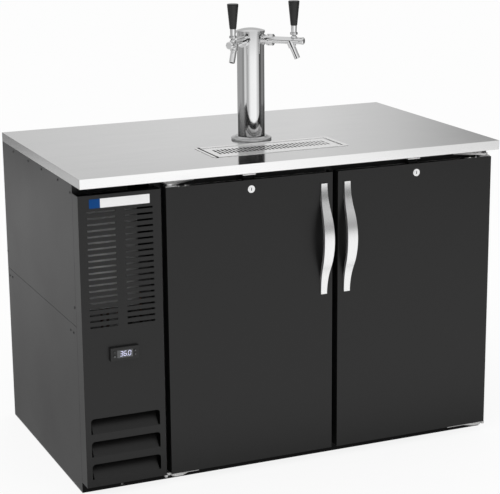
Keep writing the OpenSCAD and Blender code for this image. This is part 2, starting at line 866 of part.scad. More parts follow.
module compressor() {
    plate_over = 30;
    plate_room = 40;
    plate_t = 3;
    plate = [min(comp_d + plate_over, grille_w - plate_room), comp_d, plate_t];
    foot_d = 26;
    seam_h = 8;
    seam_out = 3;
    stub_wall = 2;
    color([0.09, 0.09, 0.09]) translate([comp_x, comp_y, comp_z]) {
        translate([-plate.x / 2, -plate.y / 2, 0]) cube(plate);
        translate([0, 0, plate.z / 2]) rounded_pot(comp_d, comp_h, comp_r);
        translate([0, 0, comp_h / 2]) cylinder(d = comp_d + 2 * seam_out, h = seam_h);
        for (sx = [-1, 1], sy = [-1, 1])
            translate([sx * (plate.x - foot_d) / 2, sy * (plate.y - foot_d) / 2, -comp_foot])
                cylinder(d = foot_d, h = comp_foot + plate.z / 2);
        for (sx = [-1, 1])
            translate([sx * comp_d / 4, 0, comp_h - comp_r / 2])
                cylinder(d = line_d + 2 * stub_wall, h = comp_r / 2 + comp_stub);
    }
}

// A fin pack: a block with slots cut across it between two end plates
module fin_pack(size, fins, end) {
    pitch = (size.x - 2 * end) / fins;
    fin = pitch * 0.3;
    rim = 4;
    difference() {
        cube(size);
        for (i = [0 : fins - 1])
            translate([end + i * pitch + fin / 2, -past, rim]) cube([pitch - fin, size.y + 2 * past, size.z - 2 * rim]);
    }
}

module condenser_coil() {
    rows = 6;
    end = 3;
    bend = coil_d / 2;
    reach = line_d;
    color(fin_metal) translate([coil_x0, coil_y0, coil_z]) {
        fin_pack([coil_w, coil_d, coil_h], coil_fins, end);
        for (i = [0 : rows - 1]) {
            z = coil_h * (i + 0.5) / rows;
            for (y = [coil_d / 2 - bend / 2, coil_d / 2 + bend / 2])
                run([coil_w - end / 2, y, z], [coil_w + reach, y, z], line_d);
        }
    }
}

module fan_shroud() {
    edge = 10;
    leg_w = 20;
    y0 = coil_y1;
    color(black_paint) difference() {
        union() {
            block([coil_x0, y0, coil_z - edge], [coil_x1, y0 + shroud_t, coil_z + coil_h + edge]);
            for (x = [coil_x0, coil_x1 - leg_w])
                block([x, y0, tray_z + tray_t], [x + leg_w, y0 + shroud_t, coil_z]);
            translate([fan_x, y0, fan_z]) rotate([-90, 0, 0]) cylinder(d = ring_hole + 4, h = ring_lip);
        }
        translate([fan_x, y0 - past, fan_z]) rotate([-90, 0, 0]) cylinder(d = ring_hole, h = ring_lip + 2 * past);
    }
}

// A motor on a cross bar, its shaft pointing up +Z from the bar towards a fan
module bar_motor(span, post, shaft) {
    translate([-span / 2, -bar_w / 2, -bar_t]) cube([span, bar_w, bar_t]);
    translate([0, 0, -bar_t - motor_l]) cylinder(d = motor_d, h = motor_l + bar_t / 2);
    cylinder(d = motor_shaft_d, h = shaft);
    for (s = [-1, 1]) translate([s * (span - post_d) / 2, 0, -bar_t / 2]) cylinder(d = post_d, h = post + bar_t / 2);
}

// A fan about Z with its lower face at z = 0
module fan() {
    chord = PI * fan_d / fan_blades * 0.5;
    blade = 1.6;
    difference() {
        union() {
            cylinder(d = hub_d, h = hub_l);
            for (i = [0 : fan_blades - 1]) rotate([0, 0, i * 360 / fan_blades]) intersection() {
                cylinder(d = fan_d, h = hub_l);
                translate([0, 0, hub_l / 2]) rotate([blade_slant, 0, 0])
                    translate([0, -chord / 2, -blade / 2]) cube([fan_d, chord, blade]);
            }
        }
        translate([0, 0, -past]) cylinder(d = motor_shaft_d + 2 * run_fit, h = hub_l + 2 * past);
    }
}

// The condenser fan's axis, pointing forward from behind the ring
module on_condenser_fan() {
    translate([fan_x, coil_y1 + shroud_t + ring_lip, fan_z]) rotate([90, 0, 0]) children();
}

module condenser_fan_motor() {
    gap = 3;
    color([0.2, 0.2, 0.21]) on_condenser_fan() translate([0, 0, -gap])
        bar_motor(ring_hole + 4 + 2 * post_d + 2, gap + ring_lip, gap + hub_l);
}

module condenser_fan() {
    color(zinc) on_condenser_fan() fan();
}

module refrigerant_lines() {
    rows = 6;
    coil_out = coil_x1 + line_d;
    y_in = coil_y0 + coil_d * 0.75;
    y_out = coil_y0 + coil_d * 0.25;
    z_in = coil_z + coil_h * (rows - 0.5) / rows;
    z_out = coil_z + coil_h * 0.5 / rows;
    stub_z = comp_z + comp_h + comp_stub;
    rise = 24;
    drier_z = 200;
    through_z = 420;
    drier_lift = 40;
    suction_gap = 40;
    drier_back = 60;
    suction_y = comp_y - comp_d / 2 - suction_gap;
    drier_y = suction_y + drier_back;
    color(copper) {
        pipe([[comp_x + comp_d / 4, comp_y, stub_z], [comp_x + comp_d / 4, comp_y, stub_z + rise],
              [line_x, comp_y, stub_z + rise], [line_x, comp_y, z_in], [line_x, y_in, z_in], [coil_out, y_in, z_in]], line_d);
        pipe([[coil_out, y_out, z_out], [line_x, y_out, z_out], [line_x, y_out, through_z],
              [line_x, drier_y, through_z], [line_x, drier_y, drier_z], [xm, drier_y, drier_z]], line_d);
        translate([line_x, drier_y, drier_z + drier_lift]) cylinder(d = drier_d, h = drier_l);
        pipe([[comp_x - comp_d / 4, comp_y, stub_z], [comp_x - comp_d / 4, comp_y, stub_z + 2 * rise],
              [comp_x - comp_d / 4, suction_y, stub_z + 2 * rise], [xm, suction_y, stub_z + 2 * rise]], line_d);
    }
}

// Evaporator on the compartment's left wall

module evaporator_cover() {
    t = cover_t;
    slots = 12;
    slot = 8;
    margin = 30;
    pitch = (evap_l - 2 * margin) / slots;
    color(steel) difference() {
        block([evap_x0, evap_y0, evap_z0], [evap_x1, evap_y1, evap_z1]);
        block([evap_x0 - past, evap_y0 + t, evap_z0 + t], [evap_x1 - t, evap_y1 - t, evap_z1 - t]);
        translate([evap_x1 - t - past, evap_y, evap_z]) rotate([0, 90, 0]) cylinder(d = ring_hole, h = t + 2 * past);
        for (i = [0 : slots - 1])
            translate([evap_x0 + margin / 2, evap_y0 + margin + (i + 0.5) * pitch - slot / 2, evap_z0 - past])
                cube([evap_d - margin, slot, t + 2 * past]);
    }
}

module evaporator_coil() {
    end = 3;
    side = 2;
    drop = 20;
    color(fin_metal) translate([evap_x0 + evap_coil_t, evap_y0 + cover_t + side, evap_z0 + drop]) rotate([0, 0, 90])
        fin_pack([evap_l - 2 * cover_t - 2 * side, evap_coil_t, evap_h - 2 * drop], evap_fins, end);
}

// The evaporator fan's axis, pointing into the compartment
module on_evaporator_fan() {
    translate([evap_x1 - hub_l - 2, evap_y, evap_z]) rotate([0, 90, 0]) children();
}

module evaporator_fan_motor() {
    gap = 3;
    len = evap_d - hub_l - 2 - gap - bar_t - evap_coil_t - 4;
    color([0.2, 0.2, 0.21]) on_evaporator_fan() translate([0, 0, -gap]) {
        translate([-bar_w / 2, -evap_l / 2 + cover_t, -bar_t]) cube([bar_w, evap_l - 2 * cover_t, bar_t]);
        translate([0, 0, -bar_t - len]) cylinder(d = motor_d, h = len + bar_t / 2);
        cylinder(d = motor_shaft_d, h = gap + hub_l);
    }
}

module evaporator_fan() {
    color(dark_plastic) on_evaporator_fan() fan();
}

// Doors: each is drawn from its hinge edge, front face and lower edge, +X towards the meeting edge

module on_left_door() {
    translate([xl, y_door, z_door0]) children();
}

module on_right_door() {
    translate([xr, y_door, z_door0]) mirror([1, 0, 0]) children();
}

skin_d = door_t - 2;
guard_w = 28;
guard_t = 4;

// Where a lock's cam sweeps, grown by a clearance
module cam_sweep(grow) {
    translate([lock_u, cam_y - grow, lock_v]) rotate([-90, 0, 0]) intersection() {
        cylinder(r = cam_l + grow, h = cam_t + 2 * grow);
        translate([-cam_w / 2 - grow, -cam_l - grow, 0])
            cube([cam_l + cam_w / 2 + 2 * grow, cam_l + cam_w / 2 + 2 * grow, cam_t + 2 * grow]);
    }
}

module door_skin() {
    color(black_paint) difference() {
        union() {
            difference() {
                block([0, 0, 0], [door_w, skin_d, door_h]);
                block([sheet, sheet, -past], [door_w - sheet, skin_d + past, door_h + past]);
            }
            for (z = [cap_drop, door_h - cap_drop - sheet])
                block([sheet / 2, sheet / 2, z], [door_w - sheet / 2, skin_d, z + sheet]);
            block([lock_u - guard_w / 2, cam_y - guard_t, door_h - cap_drop - sheet / 2],
                  [lock_u + guard_w / 2, cam_y + cam_t + guard_t, door_h + block_proud]);
        }
        translate([lock_u, -past, lock_v]) rotate([-90, 0, 0]) cylinder(d = lock_barrel_d + 2 * fit, h = sheet + 2 * past);
        cam_sweep(loose);
    }
}

module door_panel() {
    z0 = cap_drop + sheet + fit;
    z1 = door_h - z0;
    plug_in = gasket_inset + gasket_w + 4;
    plug_out = 4;
    color([0.82, 0.83, 0.84]) difference() {
        union() {
            block([sheet + fit, sheet + fit, z0], [door_w - sheet - fit, skin_d, z1]);
            block([0, skin_d, cap_drop], [door_w, door_t, door_h - cap_drop]);
            block([plug_in, door_t - past, plug_in], [door_w - plug_in, door_t + plug_out, door_h - plug_in]);
        }
        translate([lock_u, 0, lock_v]) rotate([-90, 0, 0]) cylinder(d = lock_barrel_d + 2 * fit, h = lock_l + loose);
        cam_sweep(2 * loose);
    }
}

// A ring on the door's back, set in from the gasket's outline
module gasket_ring(inset, w, y0, y1) {
    a = [gasket_inset, 0, gasket_edge] + inset * [1, 0, 1];
    b = [door_w - gasket_edge, 0, door_h - gasket_edge] - inset * [1, 0, 1];
    difference() {
        block([a.x, y0, a.z], [b.x, y1, b.z]);
        block([a.x + w, y0 - past, a.z + w], [b.x - w, y1 + past, b.z - w]);
    }
}

module door_gasket() {
    foot = 3;
    bead = 2;
    color(rubber) {
        gasket_ring(0, gasket_w, door_t, door_t + foot);
        gasket_ring(bead, gasket_w - 2 * bead, door_t + foot / 2, door_t + gasket_t);
    }
}

// Half outline of a bow along X: a round crown that runs into a hollow curve at each end
module bow(half, end, rise) {
    slope = 2 * atan(rise / half);
    r = half / 2 / sin(slope);
    drop = rise / 2 - lap;
    crown_r = (pow(half / 2, 2) + pow(drop, 2)) / (2 * drop);
    reach = 0.6 * half;
    intersection() {
        translate([0, end + rise - crown_r]) circle(r = crown_r, $fn = 200);
        translate([-reach, 0]) square([2 * reach, end + rise + past]);
    }
    for (side = [-1, 1]) difference() {
        translate([side * half * 3 / 4, (end + rise) / 2]) square([half / 2, end + rise], center = true);
        translate([side * half, end + r]) circle(r = r, $fn = 200);
    }
}

// Half outline of the finger gap: straight ramps from each end that run into a round crown
module arch(half, ramp, end, slope) {
    crown = half - ramp;
    shoulder = end + ramp * tan(slope);
    r = crown / sin(slope);
    reach = 1.2 * crown;
    polygon([[-half, 0], [half, 0], [half, end], [crown, shoulder], [-crown, shoulder], [-half, end]]);
    intersection() {
        translate([0, shoulder - r * cos(slope) + lap]) circle(r = r, $fn = 200);
        translate([-reach, 0]) square([2 * reach, shoulder + crown]);
    }
}

module door_handle() {
    half = pull_l / 2;
    crown = half - pull_ramp;
    reach = pull_l / 4;
    over = 12;
    color(steel) translate([door_w - pull_inset, 0, door_h - pull_drop]) intersection() {
        translate([-reach / 2, 0, 0]) rotate([180, -90, 0]) linear_extrude(reach) difference() {
            bow(half, pull_end, pull_rise);
            translate([0, -past]) arch(half - pull_foot, half - pull_foot - crown, past, pull_gap_slope);
        }
        translate([0, -reach, 0]) rotate([-90, -90, 0]) linear_extrude(reach + past) {
            bow(half + over, pull_end_w / 2, pull_flare);
            mirror([0, 1]) bow(half + over, pull_end_w / 2, pull_flare);
        }
    }
}

// One hinge block at the upper end, about the pivot at the origin; z = 0 is the cap it is screwed to
module hinge_block() {
    tongue_l = 40;
    tongue_t = 3;
    h = cap_drop + block_proud;
    difference() {
        union() {
            block([2 - pivot_in, -block_w / 2, 0], [block_l + 2 - pivot_in, block_w / 2, h]);
            block([0, -block_w / 2, 0], [block_l + tongue_l - pivot_in, block_w / 2, tongue_t]);
        }
        translate([0, 0, h - pin_l - loose]) cylinder(d = pin_d + 2 * run_fit, h = pin_l + past);
    }
}

module hinge_blocks() {
    color(zinc) translate([pivot_in, pivot_back, 0]) {
        translate([0, 0, door_h - cap_drop]) hinge_block();
        translate([0, 0, cap_drop]) mirror([0, 0, 1]) hinge_block();
    }
}

module lock_body() {
    color(chrome) translate([lock_u, 0, lock_v]) rotate([-90, 0, 0]) difference() {
        union() {
            translate([0, 0, -lock_rim]) cylinder(d1 = lock_d - 2, d2 = lock_d, h = lock_rim);
            translate([0, 0, -lock_rim / 2]) cylinder(d = lock_barrel_d, h = lock_l + lock_rim / 2);
        }
        translate([0, 0, -lock_rim - past]) cylinder(d = plug_d + 2 * run_fit, h = lock_l + lock_rim + 2 * past);
    }
}

module lock_plug() {
    key_w = 2.2;
    key_len = 8;
    key_deep = 12;
    proud = 0.4;
    front = -lock_rim - proud;
    color(chrome) translate([lock_u, 0, lock_v]) difference() {
        union() {
            translate([0, front, 0]) rotate([-90, 0, 0]) cylinder(d = plug_d, h = cam_y - front + cam_t / 2);
            translate([0, cam_y, 0]) rotate([-90, 0, 0]) {
                cylinder(d = cam_w, h = cam_t);
                translate([0, -cam_w / 2, 0]) cube([cam_l - loose, cam_w, cam_t]);
            }
        }
        block([-key_w / 2, front - past, -key_len / 2], [key_w / 2, front + key_deep, key_len / 2]);
    }
}

module left_door_skin() { on_left_door() door_skin(); }
module left_door_panel() { on_left_door() door_panel(); }
module left_door_gasket() { on_left_door() door_gasket(); }
module left_door_handle() { on_left_door() door_handle(); }
module left_hinge_blocks() { on_left_door() hinge_blocks(); }
module left_lock_body() { on_left_door() lock_body(); }
module left_lock_plug() { on_left_door() lock_plug(); }
module right_door_skin() { on_right_door() door_skin(); }
module right_door_panel() { on_right_door() door_panel(); }
module right_door_gasket() { on_right_door() door_gasket(); }
module right_door_handle() { on_right_door() door_handle(); }
module right_hinge_blocks() { on_right_door() hinge_blocks(); }
module right_lock_body() { on_right_door() lock_body(); }
module right_lock_plug() { on_right_door() lock_plug(); }

// A hinge bracket about the pivot, from its nose back to the frame, with its pin pointing down -Z
module hinge_bracket(gap, t, flat) {
    d = front_zone - pivot_back;
    inner = nose_r - 0.4;
    linear_extrude(t) {
        circle(r = nose_r);
        polygon([[-inner, 0], [-inner, d], [bracket_run, d], [flat, -inner], [0, -inner]]);
    }
    block([-inner, d - bracket_t / 2, 0], [bracket_run, d, front_top_gap - block_proud - lift_gap - loose]);
    translate([0, 0, -gap - pin_l]) cylinder(d = pin_d, h = gap + pin_l + t / 2);
}

// A round-ended tab on the outer end of a lower bracket
module bracket_tab(out) {
    r = 4.5;
    x = pivot_in + out;
    y = -4;
    arm = 8;
    linear_extrude(seat_t) {
        translate([-x, y]) circle(r = r);
        translate([-x - r + 0.3, y]) square([2 * r - 0.6, 2 * arm]);
        translate([-x, y + arm]) square([x, arm]);
    }
}

module door_brackets(tab_out) {
    translate([pivot_in, pivot_back, 0]) {
        translate([0, 0, door_h + block_proud + lift_gap]) hinge_bracket(lift_gap, bracket_t, bracket_t);
        translate([0, 0, -block_proud - seat_gap]) mirror([0, 0, 1]) {
            hinge_bracket(seat_gap, seat_t, seat_flat);
            bracket_tab(tab_out);
        }
    }
}

module cabinet_hinges() {
    color(zinc) {
        on_left_door() door_brackets(tab_left);
        on_right_door() door_brackets(tab_right);
    }
}

// A strike over a lock: a plate with a lip in front of the cam and a flange on the frame
module strike(off) {
    y1 = y_body - y_door;
    y0 = strike_y - y_door;
    z1 = strike_z - z_door0;
    flange_up = 8;
    flange_out = 5;
    a = lock_u + off - strike_w / 2;
    b = lock_u + off + strike_w / 2;
    block([a, y0, z1], [b, y1, z1 + strike_t]);
    block([a, y0, z1 - strike_lip + strike_t], [b, y0 + strike_t, z1 + strike_t]);
    block([a - flange_out, y1 - strike_t, z1], [b + flange_out, y1, z1 + flange_up]);
}

module strike_plates() {
    shift = 4;
    color(zinc) {
        on_left_door() strike(shift);
        on_right_door() strike(-shift);
    }
}

// Tower

module studs() {
    for (i = [0 : 3]) rotate([0, 0, 45 + 90 * i]) translate([stud_pcd / 2, 0, 0]) children();
}

module on_tower() {
    translate([0, tower_y, cab_h]) children();
}

module tower_flange() {
    rim = flange_t / 2;
    spigot_h = collar_h + 6;
    inner = col_d / 2 - col_t - fit;
    outer = col_d / 2 + collar_t;
    sweep = flange_d / 2 - rim - outer;
    color(chrome) on_tower() {
        difference() {
            rotate_extrude() {
                translate([duct_d / 2, 0]) square([flange_d / 2 - rim - duct_d / 2, flange_t / 2]);
                translate([flange_d / 2 - rim, flange_t / 2]) intersection() {
                    circle(r = rim);
                    translate([-rim, -flange_t / 2]) square([2 * rim, flange_t]);
                }
                difference() {
                    translate([duct_d / 2, 0]) square([flange_d / 2 - rim - duct_d / 2, collar_h]);
                    translate([flange_d / 2 - rim, flange_t + sweep]) circle(r = sweep);
                    translate([flange_d / 2 - rim, flange_t]) square([rim, collar_h]);
                    translate([col_d / 2 - col_t - fit, flange_t / 2]) square([col_t + 2 * fit, collar_h]);
                }
                translate([duct_d / 2, 0]) square([inner - duct_d / 2, spigot_h]);
            }
        }
        studs() translate([0, 0, -top_t - stud_l]) cylinder(d = stud_d, h = top_t + stud_l + flange_t / 4);
    }
}

module tower_nuts() {
    color(zinc) on_tower() studs() translate([0, 0, -top_t - nut_h]) difference() {
        cylinder(d = nut_af / cos(30), h = nut_h, $fn = 6);
        translate([0, 0, -past]) cylinder(d = stud_d + 2 * fit, h = nut_h + 2 * past);
    }
}

module tower_column() {
    z0 = flange_t / 2;
    h = tower_h - cap_t - z0;
    color(chrome) on_tower() difference() {
        translate([0, 0, z0]) cylinder(d = col_d, h = h);
        translate([0, 0, z0 - past]) cylinder(d = col_d - 2 * col_t, h = h + 2 * past);
        for (s = [-1, 1]) at_tap(s) rotate([0, 90, 0]) cylinder(d = shank_d + 2 * fit, h = col_d);
    }
}

module tower_cap() {
    step = 1;
    r = cap_d / 2 - step;
    dome = (pow(r, 2) + pow(cap_crown, 2)) / (2 * cap_crown);
    plug_h = 4;
    color(chrome) on_tower() translate([0, 0, tower_h - cap_t]) {
        cylinder(d = cap_d, h = cap_t);
        intersection() {
            translate([0, 0, cap_t / 2]) cylinder(d = cap_d - step, h = cap_t + cap_crown);
            translate([0, 0, cap_t + cap_crown - dome]) sphere(r = dome, $fn = 200);
        }
        translate([0, 0, -plug_h]) difference() {
            cylinder(d = col_d - 2 * col_t - 2 * fit, h = plug_h + cap_t / 2);
            translate([0, 0, -past]) cylinder(d = col_d - 8 * col_t, h = plug_h + past);
        }
    }
}

// A tap's frame: origin on the tower's axis, +X outward along the faucet; side is -1 left, +1 right
module at_tap(side) {
    translate([0, 0, tap_z]) rotate([0, 0, side * tap_angle - 90]) children();
}

module on_tap(side) {
    on_tower() at_tap(side) children();
}

module both_taps() {
    for (s = [-1, 1]) on_tap(s) children();
}

// A round bar along the faucet
module bar(r0, r1, d) {
    translate([r0, 0, 0]) rotate([0, 90, 0]) cylinder(d = d, h = r1 - r0);
}

module shanks() {
    tail_d = 12;
    tail = 14;
    inside = 30;
    flange_l = 4;
    color(chrome) both_taps() difference() {
        union() {
            bar(inside, shank_end, shank_d);
            bar(tail, inside + past, tail_d);
            difference() {
                bar(inside, col_d / 2 + flange_l, shank_flange_d);
                translate([0, 0, -shank_flange_d]) cylinder(d = col_d + 2 * fit, h = 2 * shank_flange_d);
            }
        }
        bar(tail - past, shank_end + past, shank_bore);
    }
}

module coupling_nuts() {
    lip = ring_end - shank_end - rear_l - 2 * fit;
    edge = 1.5;
    color(chrome) both_taps() difference() {
        union() {
            bar(ring_start + edge, ring_end - edge, ring_d);
            bar(ring_start, ring_end, ring_d - 2 * edge);
        }
        bar(ring_start - past, shank_end + fit, shank_d + 2 * fit);
        bar(shank_end, ring_end - lip, rear_d + 2 * fit);
        bar(ring_start, ring_end + past, barrel_d + 2 * fit);
        for (i = [0 : ring_holes - 1]) rotate([i * 360 / ring_holes + 90, 0, 0])
            translate([ring_start + ring_l * 0.4, 0, 0]) cylinder(d = ring_hole_d, h = ring_d);
    }
}

// A faucet's slot for a swinging bar: a wedge in the faucet's upright plane
module swing_slot(w, half, z0, z1) {
    t = tan(lever_swing);
    c = half / cos(lever_swing) + loose;
    translate([0, w / 2, 0]) rotate([90, 0, 0]) linear_extrude(w)
        polygon([[-half - loose, z0], [-half - loose, z1], [c + max(z1, 0) * t, z1], [c, 0], [c, z0]]);
}

module faucet_body() {
    spout_v = [spout_tip - spout_root, 0, -spout_drop];
    root = [spout_root, 0, 0];
    tip = root + spout_v;
    root_swell = 5;
    back = shank_end + fit;
    difference() {
        union() {
            bar(back, back + rear_l, rear_d);
            bar(back, barrel_end + past, barrel_d);
            bar(barrel_end, barrel_end + nose_l - nose_edge, nose_d);
            translate([barrel_end + nose_l - nose_edge, 0, 0]) rotate([0, 90, 0])
                cylinder(d1 = nose_d, d2 = nose_d - 2 * nose_edge, h = nose_edge);
            translate([lever_r, 0, 0]) cylinder(r = dome_r, h = pivot_up);
            translate([lever_r, 0, pivot_up]) sphere(r = dome_r);
            run(root, tip, spout_d);
            run(root, root + spout_v * 0.36, spout_d + root_swell);
        }
        bar(back - past, barrel_end - past, shaft_d + 2 * slide_fit);
        run(root + spout_v * 0.06, tip + spout_v * 0.1, spout_bore);
        translate([barrel_end - 5, 0, 0]) rotate([90, 0, 0]) cylinder(d = vent_d, h = 2 * barrel_d, center = true);
        translate([lever_r, 0, pivot_up]) {
            rotate([90, 0, 0]) cylinder(d = cross_d + 2 * run_fit, h = cross_l + 2 * loose, center = true);
            swing_slot(stem_d + 2 * loose, stem_d / 2, -stem_d / 2, 2 * dome_r);
            rotate([180, 0, 180]) swing_slot(finger_d + 2 * loose, finger_d / 2, 0, pivot_up + finger_d);
        }
    }
}

module faucet_bodies() {
    color(chrome) both_taps() faucet_body();
}

// Height of the lever's collar over its pivot
collar_up = dome_r + loose;

module tap_lever() {
    color(chrome) translate([lever_r, 0, pivot_up]) {
        rotate([90, 0, 0]) cylinder(d = cross_d, h = cross_l, center = true);
        cylinder(d = stem_d, h = collar_up + past);
        translate([0, 0, -pivot_up - past]) cylinder(d = finger_d, h = pivot_up + past);
        translate([0, 0, collar_up]) {
            cylinder(d = lever_collar_d - 2, h = lever_collar_h);
            translate([0, 0, 1]) cylinder(d = lever_collar_d, h = lever_collar_h - 2);
            translate([0, 0, lever_collar_h]) cylinder(d1 = ferrule_d - 1, d2 = ferrule_d, h = ferrule_h);
            translate([0, 0, lever_collar_h + ferrule_h - past]) cylinder(d = grip_stud_d, h = grip_stud_l + past);
        }
    }
}

module tap_handle() {
    top_r = 1.5;
    band = 3;
    color([0.1, 0.1, 0.1]) translate([lever_r, 0, pivot_up + collar_up + lever_collar_h + ferrule_h]) difference() {
        rotate_extrude() polygon([[0, 0], [grip_d0 / 2 - 1, 0], [grip_d0 / 2, 1], [grip_d1 / 2, grip_l - band],
            [grip_d1 / 2, grip_l - top_r], [grip_d1 / 2 - top_r, grip_l], [0, grip_l]]);
        translate([0, 0, -past]) cylinder(d = grip_stud_d + 2 * fit, h = grip_stud_l + 2 * past);
    }
}

module valve_shaft() {
    rear = shank_end + 12;
    front = barrel_end - 6;
    notch = finger_d / 2 / cos(lever_swing) + 2.1;
    color(zinc) difference() {
        bar(rear, front, shaft_d);
        block([lever_r - notch, -shaft_d, -1.5], [lever_r + notch, shaft_d, shaft_d]);
    }
}

module left_tap_lever() { on_tap(-1) tap_lever(); }
module left_tap_handle() { on_tap(-1) tap_handle(); }
module left_valve_shaft() { on_tap(-1) valve_shaft(); }
module right_tap_lever() { on_tap(1) tap_lever(); }
module right_tap_handle() { on_tap(1) tap_handle(); }
module right_valve_shaft() { on_tap(1) valve_shaft(); }

base_pan();
left_side_panels();
right_side_panel();
rear_panel();
partition_panel();
insulation();
liner();
face_frame();
keg_floor();
worktop();
drip_pan();
drip_grid();
grille_panel();
controller_housing();
display_window();
power_key();
set_key();
up_key();
down_key();
condensing_tray();
compressor();
condenser_coil();
fan_shroud();
condenser_fan_motor();
condenser_fan();
refrigerant_lines();
evaporator_cover();
evaporator_coil();
evaporator_fan_motor();
evaporator_fan();
strike_plates();
cabinet_hinges();
cord_gland();
tower_flange();
tower_nuts();
tower_column();
tower_cap();
shanks();
coupling_nuts();
faucet_bodies();
left_tap_lever();
left_tap_handle();
left_valve_shaft();
right_tap_lever();
right_tap_handle();
right_valve_shaft();
left_door_skin();
left_door_panel();
left_door_gasket();
left_door_handle();
left_hinge_blocks();
left_lock_body();
left_lock_plug();
right_door_skin();
right_door_panel();
right_door_gasket();
right_door_handle();
right_hinge_blocks();
right_lock_body();
right_lock_plug();
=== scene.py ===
# %% [markdown]
# # Dressing a draft beer cooler
# The cabinet, its doors, its taps and its machinery come in as finished solids that may not be moved or
# reshaped. What is left for Blender is the skin of things: brushed steel, chrome, powder coat, rubber and
# plastic, the small parts that are too fine for the solids, and a quiet studio round them.
# We begin by loading the solids.

# %% Load the solids
import json
import math

import bmesh
import bpy
from mathutils import Matrix, Vector


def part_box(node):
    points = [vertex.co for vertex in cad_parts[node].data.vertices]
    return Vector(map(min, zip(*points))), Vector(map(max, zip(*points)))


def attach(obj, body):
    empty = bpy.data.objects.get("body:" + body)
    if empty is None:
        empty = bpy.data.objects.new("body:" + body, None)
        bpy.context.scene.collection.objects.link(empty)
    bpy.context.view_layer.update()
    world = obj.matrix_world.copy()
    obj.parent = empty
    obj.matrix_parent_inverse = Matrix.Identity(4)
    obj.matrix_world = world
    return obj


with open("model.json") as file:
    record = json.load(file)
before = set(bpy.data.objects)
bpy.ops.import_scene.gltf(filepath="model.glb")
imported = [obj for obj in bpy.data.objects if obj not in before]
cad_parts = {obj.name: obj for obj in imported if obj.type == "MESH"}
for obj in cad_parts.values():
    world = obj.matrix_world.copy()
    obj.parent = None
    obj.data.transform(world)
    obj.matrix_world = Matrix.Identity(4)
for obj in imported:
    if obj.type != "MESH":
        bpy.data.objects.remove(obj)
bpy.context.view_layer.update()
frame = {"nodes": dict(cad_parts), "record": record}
nodes = frame["nodes"]
scene = bpy.context.scene
MM = 0.001

# %% [markdown]
# ## The camera
# The photograph was taken from the left of the cabinet and from above the worktop, with a long lens. Its
# place was worked out from the corners of the worktop and the doors. A camera can be aimed with a
# constraint, but a matrix made of its own right, up and back directions says exactly what we mean and
# leaves nothing to undo.

# %% Place the camera
YAW, PITCH, ROLL = math.radians(23.340), math.radians(14.357), math.radians(-0.489)
EYE = Vector((-1795.9, -4185.7, 1705.3)) * MM
PHOTO_WIDTH = 500
FOCAL_PIXELS = 1630.0


def camera_axes(yaw, pitch, roll):
    """The right, up and back directions of a camera that looks along +Y when its angles are zero."""
    ahead = Vector((math.sin(yaw) * math.cos(pitch), math.cos(yaw) * math.cos(pitch), -math.sin(pitch)))
    level = Vector((math.cos(yaw), -math.sin(yaw), 0))
    above = level.cross(ahead)
    right = level * math.cos(roll) + above * math.sin(roll)
    up = above * math.cos(roll) - level * math.sin(roll)
    return right, up, -ahead


lens = bpy.data.cameras.new("photo_lens")
lens.sensor_width = 36
lens.lens = FOCAL_PIXELS * lens.sensor_width / PHOTO_WIDTH
lens.clip_start, lens.clip_end = 0.1, 300
camera = bpy.data.objects.new("photo_camera", lens)
scene.collection.objects.link(camera)
turn = Matrix(camera_axes(YAW, PITCH, ROLL)).transposed().to_4x4()
camera.matrix_world = Matrix.Translation(EYE) @ turn
scene.camera = camera
print("lens", round(lens.lens, 1), "mm")

# %% [markdown]
# ## Writing shaders as sums
# A shader graph is easier to read as arithmetic than as a tangle of wires. `Wire` stands for the output of
# a node, and adding, scaling or comparing wires adds the Math nodes that do it. The reflected forms let a
# plain number stand first, as in `1 - mask`.

# %% Shader arithmetic
class Wire:
    """The output of a shader node, which can take part in sums."""

    def __init__(self, graph, socket):
        self.graph, self.socket = graph, socket

    def _math(self, operation, first, second):
        return self.graph.add("ShaderNodeMath", {"operation": operation}, {0: first, 1: second})["Value"]

    def __add__(self, other):
        return self._math("ADD", self, other)

    def __sub__(self, other):
        return self._math("SUBTRACT", self, other)

    def __rsub__(self, other):
        return self._math("SUBTRACT", other, self)

    def __mul__(self, other):
        return self._math("MULTIPLY", self, other)

    def __truediv__(self, other):
        return self._math("DIVIDE", self, other)

    def __rtruediv__(self, other):
        return self._math("DIVIDE", other, self)

    def __pow__(self, power):
        return self._math("POWER", self, power)

    def __gt__(self, edge):
        return self._math("GREATER_THAN", self, edge)

    def __lt__(self, edge):
        return self._math("LESS_THAN", self, edge)

    __radd__ = __add__
    __rmul__ = __mul__


print("sums of wires ready")

# %% [markdown]
# ## Any other node
# `Graph.add` makes every node of a finish. Its settings go first, because they decide which sockets it has,
# and its sockets follow, as numbers or wires. The stops of a ramp count as a setting. What comes back is
# the node's outputs by name, as wires.

# %% Shader graph
class Graph:
    """The node tree of a material or a world, empty to begin with."""

    def __init__(self, owner):
        owner.use_nodes = True
        self.tree = owner.node_tree
        self.tree.nodes.clear()

    def add(self, kind, settings, sockets):
        node = self.tree.nodes.new(kind)
        for name, value in settings.items():
            if name == "stops":
                self._set_stops(node.color_ramp, value)
            else:
                setattr(node, name, value)
        for name, value in sockets.items():
            socket = self._find(node.inputs, name)
            if isinstance(value, Wire):
                self.tree.links.new(value.socket, socket)
            else:
                socket.default_value = value
        return {s.name: Wire(self, s) for s in node.outputs if s.enabled}

    @staticmethod
    def _find(sockets, name):
        if isinstance(name, int):
            return sockets[name]
        return next(s for s in sockets if s.enabled and s.name == name)

    @staticmethod
    def _set_stops(ramp, stops):
        while len(ramp.elements) < len(stops):
            ramp.elements.new(1)
        for element, (place, colour) in zip(ramp.elements, stops):
            element.position, element.color = place, colour


print("shader graph ready")

